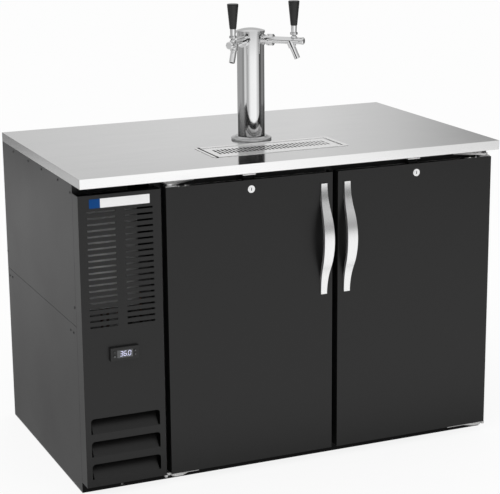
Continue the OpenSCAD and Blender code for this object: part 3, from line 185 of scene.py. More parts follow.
# %% [markdown]
# ## Places and colours
# Every finish needs a place on the surface to draw from, some noise and a mix of two colours. The place is
# the object's own coordinates, in metres: they follow a door when it swings, and a scale of 1000 means
# details one millimetre wide, whatever the size of the part.

# %% Helpers for places and colours
def grey(level, warmth=0.0):
    """A colour from an 8-bit screen level, made warmer or cooler by a small share."""
    value = (level / 255) ** 2.2
    return (value * (1 + warmth), value, value * (1 - warmth), 1)


def surface_place(graph, stretch=(1, 1, 1)):
    own = graph.add("ShaderNodeTexCoord", {}, {})["Object"]
    return graph.add("ShaderNodeMapping", {}, {"Vector": own, "Scale": stretch})["Vector"]


def split(graph, vector):
    """The X, Y and Z parts of a place or a direction."""
    return graph.add("ShaderNodeSeparateXYZ", {}, {"Vector": vector})


def noise(graph, place, scale, detail=2.0, rough=0.5):
    sockets = {"Vector": place, "Scale": scale, "Detail": detail, "Roughness": rough}
    return graph.add("ShaderNodeTexNoise", {}, sockets)["Fac"]


def blend_colours(graph, share, first, second):
    sockets = {"Factor": share, "A": first, "B": second}
    return graph.add("ShaderNodeMix", {"data_type": "RGBA"}, sockets)["Result"]


print("mid grey", [round(v, 3) for v in grey(128)])

# %% [markdown]
# ## Relief and the end of a finish
# Fine relief comes from a bump, whose depth is given in thousandths of a millimetre. The solids have sharp
# edges, so a bevelled normal rounds them in the shader, and comparing it with the true normal tells where
# an edge is. Every finish ends in one shader. Where painted shade lies on it, a dull black takes over:
# black metal would still shine at a shallow angle.

# %% Helpers for relief and for ending a finish
MICRON = 1e-6
# The dull black of painted shade.
SHADE_BLACK = grey(10)


def bump(graph, height, depth, strength=1.0, over=None):
    sockets = {"Height": height, "Distance": depth, "Strength": strength}
    if over:
        sockets["Normal"] = over
    return graph.add("ShaderNodeBump", {}, sockets)["Normal"]


def facing(graph):
    """The three parts of the direction that a face looks in."""
    return split(graph, graph.add("ShaderNodeNewGeometry", {}, {})["Normal"])


def rounded(graph, radius):
    """The normal of the same shape with rounded edges, and how far it is turned from the true one."""
    soft = graph.add("ShaderNodeBevel", {"samples": 4}, {"Radius": radius})["Normal"]
    true = graph.add("ShaderNodeNewGeometry", {}, {})["Normal"]
    same = graph.add("ShaderNodeVectorMath", {"operation": "DOT_PRODUCT"}, {0: soft, 1: true})["Value"]
    return soft, 1 - same


def close_finish(graph, sockets, darkening=None):
    """End a finish in one shader, which gives way to a dull black one, painted shade, wherever the
    darkening mask is set.
    """
    surface = graph.add("ShaderNodeBsdfPrincipled", {}, sockets)["BSDF"]
    if darkening:
        shaded = graph.add("ShaderNodeBsdfDiffuse", {}, {"Color": SHADE_BLACK})["BSDF"]
        surface = graph.add("ShaderNodeMixShader", {}, {0: darkening, 1: surface, 2: shaded})["Shader"]
    graph.add("ShaderNodeOutputMaterial", {}, {"Surface": surface})


def new_finish(name):
    material = bpy.data.materials.new(name)
    return material, Graph(material)


print("finish helpers ready")

# %% [markdown]
# ## Powder coat
# The panels, the doors and the grille are steel sheet under a satin black powder coat. Baked powder flows
# out into a faint orange peel about two millimetres across, and its gloss wanders a little over a big
# panel. Edges that hands and kegs rub turn slightly paler. The bevelled normal finds those edges without
# any painting by hand, and it also rounds the bent edges of the sheet. A narrow band along the rear edge
# of the grille is painted black: a painted shadow for the gap to the side panel. The base gets a darker,
# less shiny copy of the coat: painted shade for the shadow it stands in.

# %% Powder coat
grille_low, grille_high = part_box("grille_panel")
GAP_SHADE_DEPTH = 0.8 * MM
RUBBED_PALER = 70


def powder_coat(name, level, gloss, worn=0.35, bend=1.2 * MM, shine=0.38, gap_shade_from=None):
    material, graph = new_finish(name)
    place = surface_place(graph)
    peel = noise(graph, place, 520, 3.0)
    drift = noise(graph, place, 4.5, 3.0)
    dust = noise(graph, place, 2600)
    soft, turned = rounded(graph, bend)
    tone = blend_colours(graph, drift * 0.7 + dust * 0.3, grey(level * 0.9), grey(level * 1.1, 0.01))
    colour = blend_colours(graph, turned * worn * (0.4 + drift), tone, grey(level + RUBBED_PALER))
    sockets = {"Base Color": colour, "Roughness": gloss + drift * 0.1 + dust * 0.04,
               "Normal": bump(graph, peel, 40 * MICRON, over=soft), "Specular IOR Level": shine}
    # Painted shadow: a black band along the rear edge, for the gap behind the grille.
    gap_shade = None
    if gap_shade_from is not None:
        gap_shade = split(graph, place)["Y"] > gap_shade_from
    close_finish(graph, sockets, gap_shade)
    return material


black_coat = powder_coat("black_powder_coat", 24, 0.30)
# The grille: a painted shadow line along its rear edge.
grille_coat = powder_coat("grille_powder_coat", 24, 0.30, bend=2.5 * MM, gap_shade_from=grille_high.y - GAP_SHADE_DEPTH)
# The base: a darker, less shiny coat, painted shade for the shadow it stands in.
shaded_base_coat = powder_coat("base_powder_coat", 12, 0.5, shine=0.16)
print("powder coats", [m.name for m in (black_coat, grille_coat, shaded_base_coat)])

# %% [markdown]
# ## Brushed steel
# Stainless sheet is ground along one direction. The scratches are centimetres long and a few hundredths of
# a millimetre wide, so a noise that is stretched along the brushing gives both the streaks in gloss and the
# fine bump that smears reflections. One function serves every direction. The ends of the worktop and the
# flanks of the handles, which look to the left or right, are rougher, and their colour is painted darker:
# painted shade on the faces that look sideways. A band just under the top of the handles is painted darker
# as well, painted shade that stands in for a darker reflection there.

# %% Brushed steel
pull_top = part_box("left_door_handle")[1].z
SHADE_BAND_DEPTH, SHADE_BAND_SHARE = 24 * MM, 0.84


def brushed_steel(name, along, level, gloss, side_shade_level, end_gloss=0.1, shade_band_top=None):
    material, graph = new_finish(name)
    fine = [1.0 if axis == along else 60.0 for axis in "XYZ"]
    broad = [0.15 if axis == along else 1.0 for axis in "XYZ"]
    hair = noise(graph, surface_place(graph, fine), 28, 6.0, 0.7)
    band = noise(graph, surface_place(graph, broad), 30, 3.0)
    smear = noise(graph, surface_place(graph), 7, 4.0)
    # Faces that look to the left or right: painted shade in their colour, and a rougher finish.
    across = facing(graph)["X"]
    end = across * across > 0.6
    streaks = hair * 0.6 + band * 0.4
    ground = blend_colours(graph, streaks, grey(level * 0.95, -0.004), grey(level * 1.03, 0.004))
    side_shade_tone = blend_colours(graph, hair, grey(side_shade_level * 0.95), grey(side_shade_level * 1.05))
    colour = blend_colours(graph, end, ground, side_shade_tone)
    # A band just under the top painted darker: painted shade.
    if shade_band_top is not None:
        down = (shade_band_top - split(graph, surface_place(graph))["Z"]) / SHADE_BAND_DEPTH
        shaded = 1 - (down - 1) * (down - 1)
        colour = blend_colours(graph, shaded, colour, grey(level * SHADE_BAND_SHARE))
    rough = gloss + (hair - 0.5) * 0.12 + (smear - 0.5) * 0.06 + end * end_gloss
    close_finish(graph, {"Base Color": colour, "Metallic": 1.0, "Roughness": rough,
                         "Normal": bump(graph, hair, 10 * MICRON, 0.5)})
    return material


top_steel = brushed_steel("worktop_steel_brushed_along", "X", 248, 0.12, 178)
pull_steel = brushed_steel("handle_steel_brushed_upright", "Z", 244, 0.26, 225, 0.25, pull_top)
liner_steel = brushed_steel("liner_steel", "Z", 200, 0.34, 200, 0.0)
print("brushed steels", [m.name for m in (top_steel, pull_steel, liner_steel)])

# %% [markdown]
# ## Where the tray is painted in shade
# The inside of the drip pan and the punched edges of its grid are painted dull and dark: painted shade for
# the hollows under and between them. The pan's own box says where its inside begins and where its rim turns
# down at the left end. An edge of the grid is any face that doesn't look up or down, with a seam of painted
# shade beside it, which the bevelled normal finds. The shade could be painted by hand as well, but a rule
# stays right when the shape changes.

# %% Places painted in shade
pan_low, pan_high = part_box("drip_pan")
RIM_DEPTH = 4.6 * MM
LEFT_LIP = (pan_low.x + 7.5 * MM, pan_low.x + 15 * MM)
SEAM_WIDTH, SEAM_FULL = 2.5 * MM, 1 / 9


def even_change(graph, value, start, end, low=0.0, high=1.0):
    """A number that runs evenly from low to high while value runs from start to end."""
    sockets = {"Value": value, "From Min": start, "From Max": end, "To Min": low, "To Max": high}
    return graph.add("ShaderNodeMapRange", {}, sockets)["Result"]


def larger(graph, first, second):
    return graph.add("ShaderNodeMath", {"operation": "MAXIMUM"}, {0: first, 1: second})["Value"]


# Painted shade inside the pan below its rim, and on the lip at its left end.
def shade_in_pan(graph, axis):
    lip = (axis["X"] > LEFT_LIP[0]) * (axis["X"] < LEFT_LIP[1])
    return larger(graph, lip, axis["Z"] < pan_high.z - RIM_DEPTH)


# Painted shade on the walls of the grid's slots and in a seam beside each edge.
def shade_on_punched_edge(graph, axis):
    up = facing(graph)["Z"]
    turned = rounded(graph, SEAM_WIDTH)[1]
    return larger(graph, even_change(graph, turned, 0, SEAM_FULL), up * up < 0.5)


print("inside of the pan below", round((pan_high.z - RIM_DEPTH) / MM, 1), "mm")

# %% [markdown]
# ## Satin steel of the drip tray
# The drip tray is almost white steel. Its grinding is so fine that half of the light scatters as from
# paint, and the other half still mirrors the tower, so half a metal is nearer to it than a rough one. The
# painted shade is darkest at the left end and fades to a quarter towards the right.

# %% Drip tray finish
SHADE_FADE_X = pan_high.x * 0.8
TRAY_LEVEL, TRAY_METAL = 250, 0.52


def tray_satin(name, dark_where):
    material, graph = new_finish(name)
    place = surface_place(graph)
    axis = split(graph, place)
    hair = noise(graph, surface_place(graph, (1, 60, 60)), 28, 5.0, 0.7)
    shade_wobble = noise(graph, place, 22, 5.0)
    # Painted shade: darkest at the left, fading to a quarter towards the right, with a small wobble.
    shade_fade = even_change(graph, axis["X"], 0, SHADE_FADE_X, 1.0, 0.25)
    tone = blend_colours(graph, hair, grey(TRAY_LEVEL * 0.97), grey(TRAY_LEVEL * 1.02, 0.004))
    darkening = dark_where(graph, axis) * shade_fade * (0.9 + shade_wobble * 0.1)
    close_finish(graph, {"Base Color": tone, "Metallic": TRAY_METAL, "Roughness": 0.12 + hair * 0.08,
                         "Normal": bump(graph, hair, 10 * MICRON, 0.5)}, darkening)
    return material


pan_steel = tray_satin("drip_pan_satin", shade_in_pan)
grid_steel = tray_satin("drip_grid_satin", shade_on_punched_edge)
print("tray finishes", pan_steel.name, grid_steel.name)

# %% [markdown]
# ## Chrome and plated steel
# Polished chrome is almost a mirror, so most of its look comes from the room. What keeps it from looking
# like a computer's idea of metal is a breath of haze: wiped smears where the gloss drops a little. Zinc
# plate is the dull cousin, with a soft crystal mottling. The lock strikes are painted dark below the top
# of their lip: a painted shadow on their lower part. The tower's flange is a darker copy of the chrome:
# painted shade for the darker reflections it shows.

# %% Chrome and zinc
STRIKE_LIP = 9 * MM
STRIKE_SHADOW_LEVEL = 34


def polished_chrome(name, level=232, gloss=0.045):
    material, graph = new_finish(name)
    wiped = noise(graph, surface_place(graph, (1, 1, 0.35)), 34, 5.0, 0.6)
    specks = noise(graph, surface_place(graph), 900)
    tone = blend_colours(graph, wiped, grey(level * 0.98, -0.006), grey(level * 1.02))
    close_finish(graph, {"Base Color": tone, "Metallic": 1.0, "Roughness": gloss + wiped * wiped * 0.06,
                         "Normal": bump(graph, specks, 2 * MICRON, 0.3)})
    return material


def zinc_plate(name, level, shadow_below=None):
    material, graph = new_finish(name)
    place = surface_place(graph)
    crystal = graph.add("ShaderNodeTexVoronoi", {}, {"Vector": place, "Scale": 260})["Distance"]
    cloud = noise(graph, place, 45, 4.0)
    mottling = crystal * 0.5 + cloud * 0.5
    colour = blend_colours(graph, mottling, grey(level * 0.85), grey(level * 1.12, 0.01))
    # Below the given height the zinc is painted dark: painted shadow.
    if shadow_below is not None:
        colour = blend_colours(graph, split(graph, place)["Z"] < shadow_below, colour, grey(STRIKE_SHADOW_LEVEL))
    close_finish(graph, {"Base Color": colour, "Metallic": 1.0, "Roughness": 0.3 + cloud * 0.2,
                         "Normal": bump(graph, crystal, 20 * MICRON, 0.4)})
    return material


chrome = polished_chrome("tower_chrome")
# The flange: a darker copy of the chrome, painted shade for its darker reflections.
flange_chrome = polished_chrome("flange_chrome", 190, 0.05)
zinc = zinc_plate("zinc_plate", 222)
old_zinc = zinc_plate("old_zinc", 120)
# The strikes: painted dark below the top of their lip, a painted shadow on their lower part.
strike_zinc = zinc_plate("strike_zinc", 250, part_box("strike_plates")[1].z - STRIKE_LIP)
print("bright metals", [m.name for m in (chrome, flange_chrome, zinc, old_zinc, strike_zinc)])

# %% [markdown]
# ## Plastics and rubber
# Moulded plastic carries the texture of its mould, a pebbling a fraction of a millimetre across; rubber is
# the same idea with more bite and less gloss. A gloss setting and a pebble size are all that tell them
# apart, so one function makes the tap handles, the door frames, the keys and the door gaskets.

# %% Moulded finishes
def moulded(name, level, gloss, pebble, depth, warmth=0.0):
    material, graph = new_finish(name)
    place = surface_place(graph)
    grain = noise(graph, place, pebble, 3.0)
    flow = noise(graph, place, 24, 4.0)
    mottling = grain * 0.4 + flow * 0.6
    tone = blend_colours(graph, mottling, grey(level * 0.86, warmth), grey(level * 1.14, warmth))
    close_finish(graph, {"Base Color": tone, "Roughness": gloss + (flow - 0.5) * 0.12,
                         "Normal": bump(graph, grain, depth)})
    return material


grip_black = moulded("tap_handle_black", 20, 0.24, 900, 10 * MICRON)
frame_black = moulded("door_frame_plastic", 26, 0.55, 1200, 40 * MICRON)
key_black = moulded("key_caps", 34, 0.5, 1400, 30 * MICRON)
seal_rubber = moulded("door_seal_rubber", 24, 0.7, 700, 60 * MICRON)
door_lining = moulded("door_lining", 205, 0.42, 800, 30 * MICRON, 0.01)
print("moulded", [m.name for m in (grip_black, frame_black, key_black, seal_rubber, door_lining)])

# %% [markdown]
# ## The controller's case
# The front of the case is a matt foil like the panel round it. Its sides, and the narrow chamfer round the
# front, are deep black plastic that gives hardly any light back. Both are the same piece, so the way a face
# looks and its place within the front decide which of two shaders it gets.

# %% Controller case
case_low, case_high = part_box("controller_housing")
CHAMFER = 0.4 * MM


def bezel_black(name):
    material, graph = new_finish(name)
    place = surface_place(graph)
    grain = noise(graph, place, 1500, 3.0)
    flow = noise(graph, place, 24, 4.0)
    axis = split(graph, place)
    wide = (axis["X"] > case_low.x + CHAMFER) * (axis["X"] < case_high.x - CHAMFER)
    tall = (axis["Z"] > case_low.z + CHAMFER) * (axis["Z"] < case_high.z - CHAMFER)
    front = (facing(graph)["Y"] < -0.7) * wide * tall
    foil_tone = blend_colours(graph, grain * 0.4 + flow * 0.6, grey(15), grey(22))
    foil = graph.add("ShaderNodeBsdfPrincipled", {}, {
        "Base Color": foil_tone, "Roughness": 0.42 + flow * 0.1, "Normal": bump(graph, grain, 30 * MICRON)})
    side_tone = blend_colours(graph, flow, grey(40), grey(48))
    side = graph.add("ShaderNodeBsdfPrincipled", {}, {
        "Base Color": side_tone, "Roughness": 0.6, "Specular IOR Level": 0.06})
    both = graph.add("ShaderNodeMixShader", {}, {0: front, 1: side["BSDF"], 2: foil["BSDF"]})
    graph.add("ShaderNodeOutputMaterial", {}, {"Surface": both["Shader"]})
    return material


case_black = bezel_black("controller_case")
print("case", case_black.name)

# %% [markdown]
# ## Finishes that hide inside
# Nobody sees the machinery until a door or a panel is off, but it is there in other views and deserves its
# own look: cut rigid foam with open cells, copper that has darkened with handling, aluminium fins with fine
# ribs, black enamel on the compressor.

# %% Foam, copper, fins and enamel
def rigid_foam(name):
    material, graph = new_finish(name)
    place = surface_place(graph)
    cell = graph.add("ShaderNodeTexVoronoi", {}, {"Vector": place, "Scale": 650})["Distance"]
    cloud = noise(graph, place, 12, 4.0)
    tone = blend_colours(graph, cloud, (0.66, 0.55, 0.28, 1), (0.8, 0.72, 0.45, 1))
    close_finish(graph, {"Base Color": tone, "Roughness": 0.8 + cloud * 0.15,
                         "Normal": bump(graph, cell, 300 * MICRON)})
    return material


def handled_copper(name):
    material, graph = new_finish(name)
    place = surface_place(graph)
    tarnish = noise(graph, place, 38, 6.0, 0.65)
    tone = blend_colours(graph, tarnish, (0.24, 0.12, 0.075, 1), (0.1, 0.06, 0.045, 1))
    close_finish(graph, {"Base Color": tone, "Metallic": 1.0, "Roughness": 0.22 + tarnish * 0.3,
                         "Normal": bump(graph, noise(graph, place, 700), 20 * MICRON)})
    return material


def fin_aluminium(name):
    material, graph = new_finish(name)
    ripple = noise(graph, surface_place(graph, (1, 1, 40)), 60, 3.0)
    dust = noise(graph, surface_place(graph), 30, 4.0)
    tone = blend_colours(graph, dust, grey(196), grey(160, 0.03))
    close_finish(graph, {"Base Color": tone, "Metallic": 0.85, "Roughness": 0.32 + dust * 0.2,
                         "Normal": bump(graph, ripple, 80 * MICRON)})
    return material


foam = rigid_foam("rigid_foam")
copper = handled_copper("handled_copper")
fins = fin_aluminium("fin_aluminium")
enamel = powder_coat("compressor_enamel", 26, 0.2, 0.2)
motor_grey = powder_coat("motor_grey", 62, 0.45, 0.2)
print("hidden finishes", [m.name for m in (foam, copper, fins, enamel, motor_grey)])

# %% [markdown]
# ## The display's window
# A smoked window is dark plastic with a hard clear face. A coat on top of a dark base does this with one
# shader and keeps the surface closed, which is simpler and cleaner than real transparency over an empty
# box.

# %% Smoked window
def smoked_window(name):
    material, graph = new_finish(name)
    haze = noise(graph, surface_place(graph), 60, 3.0)
    tone = blend_colours(graph, haze, grey(54, -0.04), grey(68, -0.06))
    close_finish(graph, {"Base Color": tone, "Roughness": 0.2 + haze * 0.08,
                         "Coat Weight": 0.8, "Coat Roughness": 0.05})
    return material


window_smoke = smoked_window("smoked_window")
print("window", window_smoke.name)

# %% [markdown]
# ## Hand out the finishes
# The model's record says which material slot each solid belongs to, so the finishes are handed out by slot.
# The few solids that differ from the rest of their slot, by the way of their brushing or by their wear, are
# listed by name.

# %% Assign finishes
by_slot = {
    "black_paint": black_coat, "steel": liner_steel, "chrome": chrome, "zinc": zinc, "foam": foam,
    "dark_plastic": case_black, "door_liner": door_lining, "rubber": seal_rubber, "copper": copper,
    "fin_metal": fins, "window": window_smoke, "key_cap": key_black, "grip": grip_black,
    "shell_black": enamel, "motor": motor_grey,
}
by_node = {
    "worktop": top_steel, "drip_pan": pan_steel, "drip_grid": grid_steel, "face_frame": frame_black,
    "left_door_handle": pull_steel, "right_door_handle": pull_steel, "grille_panel": grille_coat,
    "base_pan": shaded_base_coat, "strike_plates": strike_zinc, "tower_flange": flange_chrome,
}
for part in frame["record"]["subparts"]:
    finishes = nodes[part["node"]].data.materials
    finishes.clear()
    finishes.append(by_node.get(part["node"], by_slot[part["material_slot"]]))
print("finishes on", len(nodes), "solids")

# %% [markdown]
# ## Small parts: a helper
# Screws, plates and digits are too small for the solid model but easy to see. Each is a mesh of its own
# that rides on the body it is fixed to, so it moves with a door or stays with the cabinet. The studio's own
# pieces are made by the same first step, so it has a function to itself.

# %% Helpers for new pieces
def new_piece(name, material, mesh_code, *details):
    """An object in one finish, whose mesh is drawn by mesh_code."""
    mesh = bpy.data.meshes.new(name)
    shape = bmesh.new()
    mesh_code(shape, *details)
    bmesh.ops.recalc_face_normals(shape, faces=shape.faces)
    shape.to_mesh(mesh)
    shape.free()
    mesh.materials.append(material)
    piece = bpy.data.objects.new(name, mesh)
    scene.collection.objects.link(piece)
    return piece


def small_part(name, body, slot, material, mesh_code, *details):
    """A new piece of the cooler, fixed to a body; its material slot is not used."""
    part = new_piece(name, material, mesh_code, *details)
    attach(part, body)
    return part


print("ready for small parts")

# %% [markdown]
# ## Pan-head screws
# The side panels are held by black pan-head screws with a cross recess. A screw head is a shallow dome, and
# the recess is the same dome pushed in wherever a point lies within half a blade's width of one of two
# lines, so a grid of rings and spokes is enough to make both at once. All the screws of a side share one
# mesh. Their places are in millimetres, back from the front of the worktop and up from the floor.

# %% Cross-recess screws
HEAD_RADIUS, HEAD_HEIGHT, HEAD_CURVE = 3.6 * MM, 1.2 * MM, 2.6
BLADE_HALF, BLADE_REACH, BLADE_DEPTH = 0.55 * MM, 2.5 * MM, 0.7 * MM
RINGS, SPOKES = 9, 40
SIDE_SPOTS = ((618, 827.5), (467, 827.5), (339, 828), (189, 828), (84, 815), (729, 511), (717, 439),
              (687, 441.5), (79, 511), (121, 439), (95.5, 438.5))
SIDE_TWIST = 0.7


def screw_point(radius, angle, rise):
    """A point of a head that stands on the origin and faces +Z, its height times rise."""
    x, y = radius * math.cos(angle), radius * math.sin(angle)
    height = HEAD_HEIGHT * math.sqrt(max(0.0, 1 - (radius / HEAD_RADIUS) ** HEAD_CURVE))
    if min(abs(x), abs(y)) < BLADE_HALF and radius < BLADE_REACH:
        height -= BLADE_DEPTH
    return Vector((x, y, height * rise))


def add_screw(shape, middle, out, twist, rise=1.0):
    """A screw head on the point middle, facing along out."""
    pose = Vector(out).to_track_quat("Z", "Y").to_matrix() @ Matrix.Rotation(twist, 3, "Z")

    def point(radius, angle):
        return shape.verts.new(Vector(middle) + pose @ screw_point(radius, angle, rise))

    centre = point(0, 0)
    last = None
    for ring in range(1, RINGS + 1):
        radius = HEAD_RADIUS * ring / RINGS
        row = [point(radius, 2 * math.pi * spoke / SPOKES) for spoke in range(SPOKES)]
        for i in range(SPOKES):
            j = (i + 1) % SPOKES
            if last:
                shape.faces.new((last[i], row[i], row[j], last[j]))
            else:
                shape.faces.new((centre, row[i], row[j]))
        last = row
    shape.faces.new(list(reversed(last)))


def side_screws(shape):
    side_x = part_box("left_side_panels")[0].x
    front_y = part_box("worktop")[0].y
    for count, (back, up) in enumerate(SIDE_SPOTS):
        add_screw(shape, (side_x, front_y + back * MM, up * MM), (-1, 0, 0), SIDE_TWIST * count)


screws = small_part("side_panel_screws", "cabinet", "black_paint", black_coat, side_screws)
print(len(SIDE_SPOTS), "screws,", len(screws.data.vertices), "points")

# %% [markdown]
# ## Bright screws
# Two bright screws hold each hinge tongue down on its door, and one old one holds the base under the
# grille panel. They are the same heads in zinc. Those on a tongue are seen from the side, so they stand
# taller, and they ride with the door.

# %% Hinge screws and base screw
TONGUE_DROP = 5 * MM
# How far in from the end of the tongue, and how far the head happens to be turned, in radians
TONGUE_SPOTS = ((10 * MM, 10), (30 * MM, 30))
TONGUE_RISE = 2.2
BASE_SCREW_UP, BASE_SCREW_TWIST = 7 * MM, 0.4


def tongue_screws(shape, side):
    low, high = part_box(side + "_hinge_blocks")
    for inward, twist in TONGUE_SPOTS:
        x = high.x - inward if side == "left" else low.x + inward
        spot = (x, (low.y + high.y) / 2, high.z - TONGUE_DROP)
        add_screw(shape, spot, (0, 0, 1), twist, TONGUE_RISE)


def base_screw(shape):
    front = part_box("base_pan")[0].y
    middle = (grille_low.x + grille_high.x) / 2
    add_screw(shape, (middle, front, BASE_SCREW_UP), (0, -1, 0), BASE_SCREW_TWIST)


for side in ("left", "right"):
    small_part(side + "_hinge_screws", side + "_door", "zinc", zinc, tongue_screws, side)
small_part("base_screw", "cabinet", "zinc", old_zinc, base_screw)
print("bright screws", 2 * len(TONGUE_SPOTS) + 1)

# %% [markdown]
# ## The plate on the grille
# Above the louvres sits a plain plate: a thin sheet with a raised border. It is built as a rounded outline
# that steps up to the border and back down to the field, one loop of points for each step, and the loops
# are then bridged. A bevelled box would be quicker, but its face would have no border.

# %% Shape of the plate
PLATE_W, PLATE_H = 162.5 * MM, 24 * MM
PLATE_IN, PLATE_UP = 110.8 * MM, 794 * MM
CORNER_STEPS = 6
# Each step of the edge in millimetres: how far in from the outline, corner radius, height off the panel
PLATE_STEPS = ((0, 1.6, 0), (0, 1.6, 0.5), (0.3, 1.4, 0.7), (1.1, 1.0, 0.7), (1.3, 0.9, 0.45))
plate_middle = Vector((grille_low.x + PLATE_IN, grille_low.y, PLATE_UP))


def rounded_outline(width, height, radius):
    points = []
    for quarter, (sx, sy) in enumerate(((1, 1), (-1, 1), (-1, -1), (1, -1))):
        for step in range(CORNER_STEPS + 1):
            angle = math.pi / 2 * (quarter + step / CORNER_STEPS)
            points.append((sx * (width / 2 - radius) + radius * math.cos(angle),
                           sy * (height / 2 - radius) + radius * math.sin(angle)))
    return points


def stepped_plate(shape):
    """The plate, facing -Y."""
    rows = []
    for inset, corner, off in PLATE_STEPS:
        width, height = PLATE_W - 2 * inset * MM, PLATE_H - 2 * inset * MM
        outline = rounded_outline(width, height, corner * MM)
        rows.append([shape.verts.new(plate_middle + Vector((x, -off * MM, z))) for x, z in outline])
    for a, b in zip(rows, rows[1:]):
        for i in range(len(a)):
            j = (i + 1) % len(a)
            shape.faces.new((a[i], a[j], b[j], b[i]))
    shape.faces.new(rows[0])
    shape.faces.new(rows[-1])


print("plate with", len(PLATE_STEPS), "loops of", len(rounded_outline(PLATE_W, PLATE_H, MM)), "points")

# %% [markdown]
# ## The print on the plate
# The plate is printed white, with a plain blue band at its left end. Both are only paint, so the finish
# makes them from the place along the plate, and the edge of the band stays sharp at any distance.

# %% Blank plate
BAND_IN = 52 * MM


def plate_print(name):
    material, graph = new_finish(name)
    place = surface_place(graph)
    speck = noise(graph, place, 900, 3.0)
    cloud = noise(graph, place, 30, 3.0)
    past_band = split(graph, place)["X"] > plate_middle.x - BAND_IN
    white = blend_colours(graph, cloud, grey(232), grey(242))
    tone = blend_colours(graph, past_band, (0.0, 0.05, 0.2, 1), white)
    close_finish(graph, {"Base Color": tone, "Roughness": 0.4 + speck * 0.1, "Specular IOR Level": 0.12,
                         "Normal": bump(graph, speck, 10 * MICRON)})
    return material


plate = small_part("blank_plate", "cabinet", "steel", plate_print("plate_print"), stepped_plate)
print("plate in mm", [round(v / MM, 1) for v in plate.dimensions])

# %% [markdown]
# ## Flat figures
# The digits of the display and the marks on the keys are flat figures, a hair proud of their surface. Such
# a figure is its outline twice, in front and behind, with a narrow wall between. A lit bar of the display
# has pointed ends, so that two bars can meet in a corner.

# %% Flat figures
STROKE, BAR_RISE = 1.25 * MM, 0.2 * MM


def raised(shape, outline, off):
    """A flat figure with the given outline, standing off its surface towards -Y."""
    front = [shape.verts.new(p + Vector((0, -off, 0))) for p in outline]
    back = [shape.verts.new(p) for p in outline]
    shape.faces.new(front)
    shape.faces.new(back)
    for i in range(len(front)):
        j = (i + 1) % len(front)
        shape.faces.new((front[i], front[j], back[j], back[i]))


def flat_bar(shape, start, end):
    """A bar with pointed ends between two points of the window."""
    run = end - start
    side = Vector((-run.z, 0, run.x)).normalized() * STROKE / 2
    tip = run.normalized() * STROKE / 2
    upper = [start + tip + side, end - tip + side]
    lower = [end - tip - side, start + tip - side]
    raised(shape, [start, *upper, end, *lower], BAR_RISE)


print("bars", round(STROKE / MM, 2), "mm wide and", round(BAR_RISE / MM, 2), "mm proud")

# %% [markdown]
# ## Digits on the display
# The controller shows a temperature in seven-segment digits that lean a little to the right, in a material
# that glows a little. Building them from a table of lit segments is shorter than drawing numerals and looks
# right at any distance.

# %% Seven-segment digits
READING = "360"
LIT = {"3": "abgcd", "6": "afgedc", "0": "abcdef"}
SEGMENTS = {
    "a": ((0, 2), (1, 2)), "b": ((1, 2), (1, 1)), "c": ((1, 1), (1, 0)), "d": ((0, 0), (1, 0)),
    "e": ((0, 0), (0, 1)), "f": ((0, 1), (0, 2)), "g": ((0, 1), (1, 1)),
}
DIGIT_W, DIGIT_H, DIGIT_UP, LEAN = 6.8 * MM, 12.4 * MM, 0.5 * MM, 0.09
DIGIT_LEFTS = (8.2 * MM, 18.2 * MM, 30.4 * MM)
DOT_LEFT, DOT_WIDTH = 26.9 * MM, 2.0 * MM
SEGMENT_GAP = 0.3 * MM
window_low, window_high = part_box("display_window")
window_mid = (window_low + window_high) / 2


def digits(shape):
    def spot(x, up):
        return Vector((window_low.x + x + up * LEAN, window_low.y, window_mid.z + DIGIT_UP + up))

    for digit, left in zip(READING, DIGIT_LEFTS):
        for name in LIT[digit]:
            ends = [spot(left + a * DIGIT_W, (b - 1) * DIGIT_H / 2) for a, b in SEGMENTS[name]]
            gap = (ends[1] - ends[0]).normalized() * SEGMENT_GAP
            flat_bar(shape, ends[0] + gap, ends[1] - gap)
    dot = spot(DOT_LEFT, -DIGIT_H / 2)
    flat_bar(shape, dot, dot + Vector((DOT_WIDTH, 0, 0)))


def lit_segment(name):
    material, graph = new_finish(name)
    flicker = noise(graph, surface_place(graph), 1200)
    glow = blend_colours(graph, flicker, (0.56, 0.56, 0.8, 1), (0.68, 0.68, 0.92, 1))
    close_finish(graph, {"Base Color": glow, "Roughness": 0.5, "Emission Color": glow,
                         "Emission Strength": 0.6})
    return material


readout = small_part("display_digits", "cabinet", "window", lit_segment("lit_segments"), digits)
print("digits", len(readout.data.polygons), "faces")

# %% [markdown]
# ## Marks on the keys
# The four keys carry small printed marks: an arrow head up, one down, three bars and a stroke. A print has
# hardly any height, but a flat figure a tenth of a millimetre proud is sharp at any distance and needs no
# drawing in the finish. Each mark is a piece of its own, because it must travel with its key.

# %% Key marks
MARK_RISE = 0.1 * MM
# Outlines in millimetres from the middle of the key
MARKS = {
    "up": [[(-1.6, -1.2), (1.6, -1.2), (0, 1.7)]],
    "down": [[(-1.6, 1.2), (1.6, 1.2), (0, -1.7)]],
    "set": [[(-2, y), (2, y), (2, y + 0.9), (-2, y + 0.9)] for y in (-2.0, -0.45, 1.1)],
    "power": [[(-0.4, 0.2), (0.4, 0.2), (0.4, 2.2), (-0.4, 2.2)]],
}


def key_mark(shape, key):
    low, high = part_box(key + "_key")
    middle = (low + high) / 2
    for figure in MARKS[key]:
        outline = [Vector((middle.x + x * MM, low.y, middle.z + z * MM)) for x, z in figure]
        raised(shape, outline, MARK_RISE)


print_grey = moulded("key_print", 104, 0.6, 1200, 10 * MICRON, -0.03)
for key in MARKS:
    small_part(key + "_mark", key + "_button", "key_cap", print_grey, key_mark, key)
print("marks on", len(MARKS), "keys")

# %% [markdown]
# ## The filter behind the louvres
# Through the louvres one sees a flat pale surface: the washable filter that keeps lint off the condenser.
# It is wire cloth in a folded frame, hung just in front of the fins. Four slabs make the frame, and a thin
# one that reaches into all four makes the cloth.

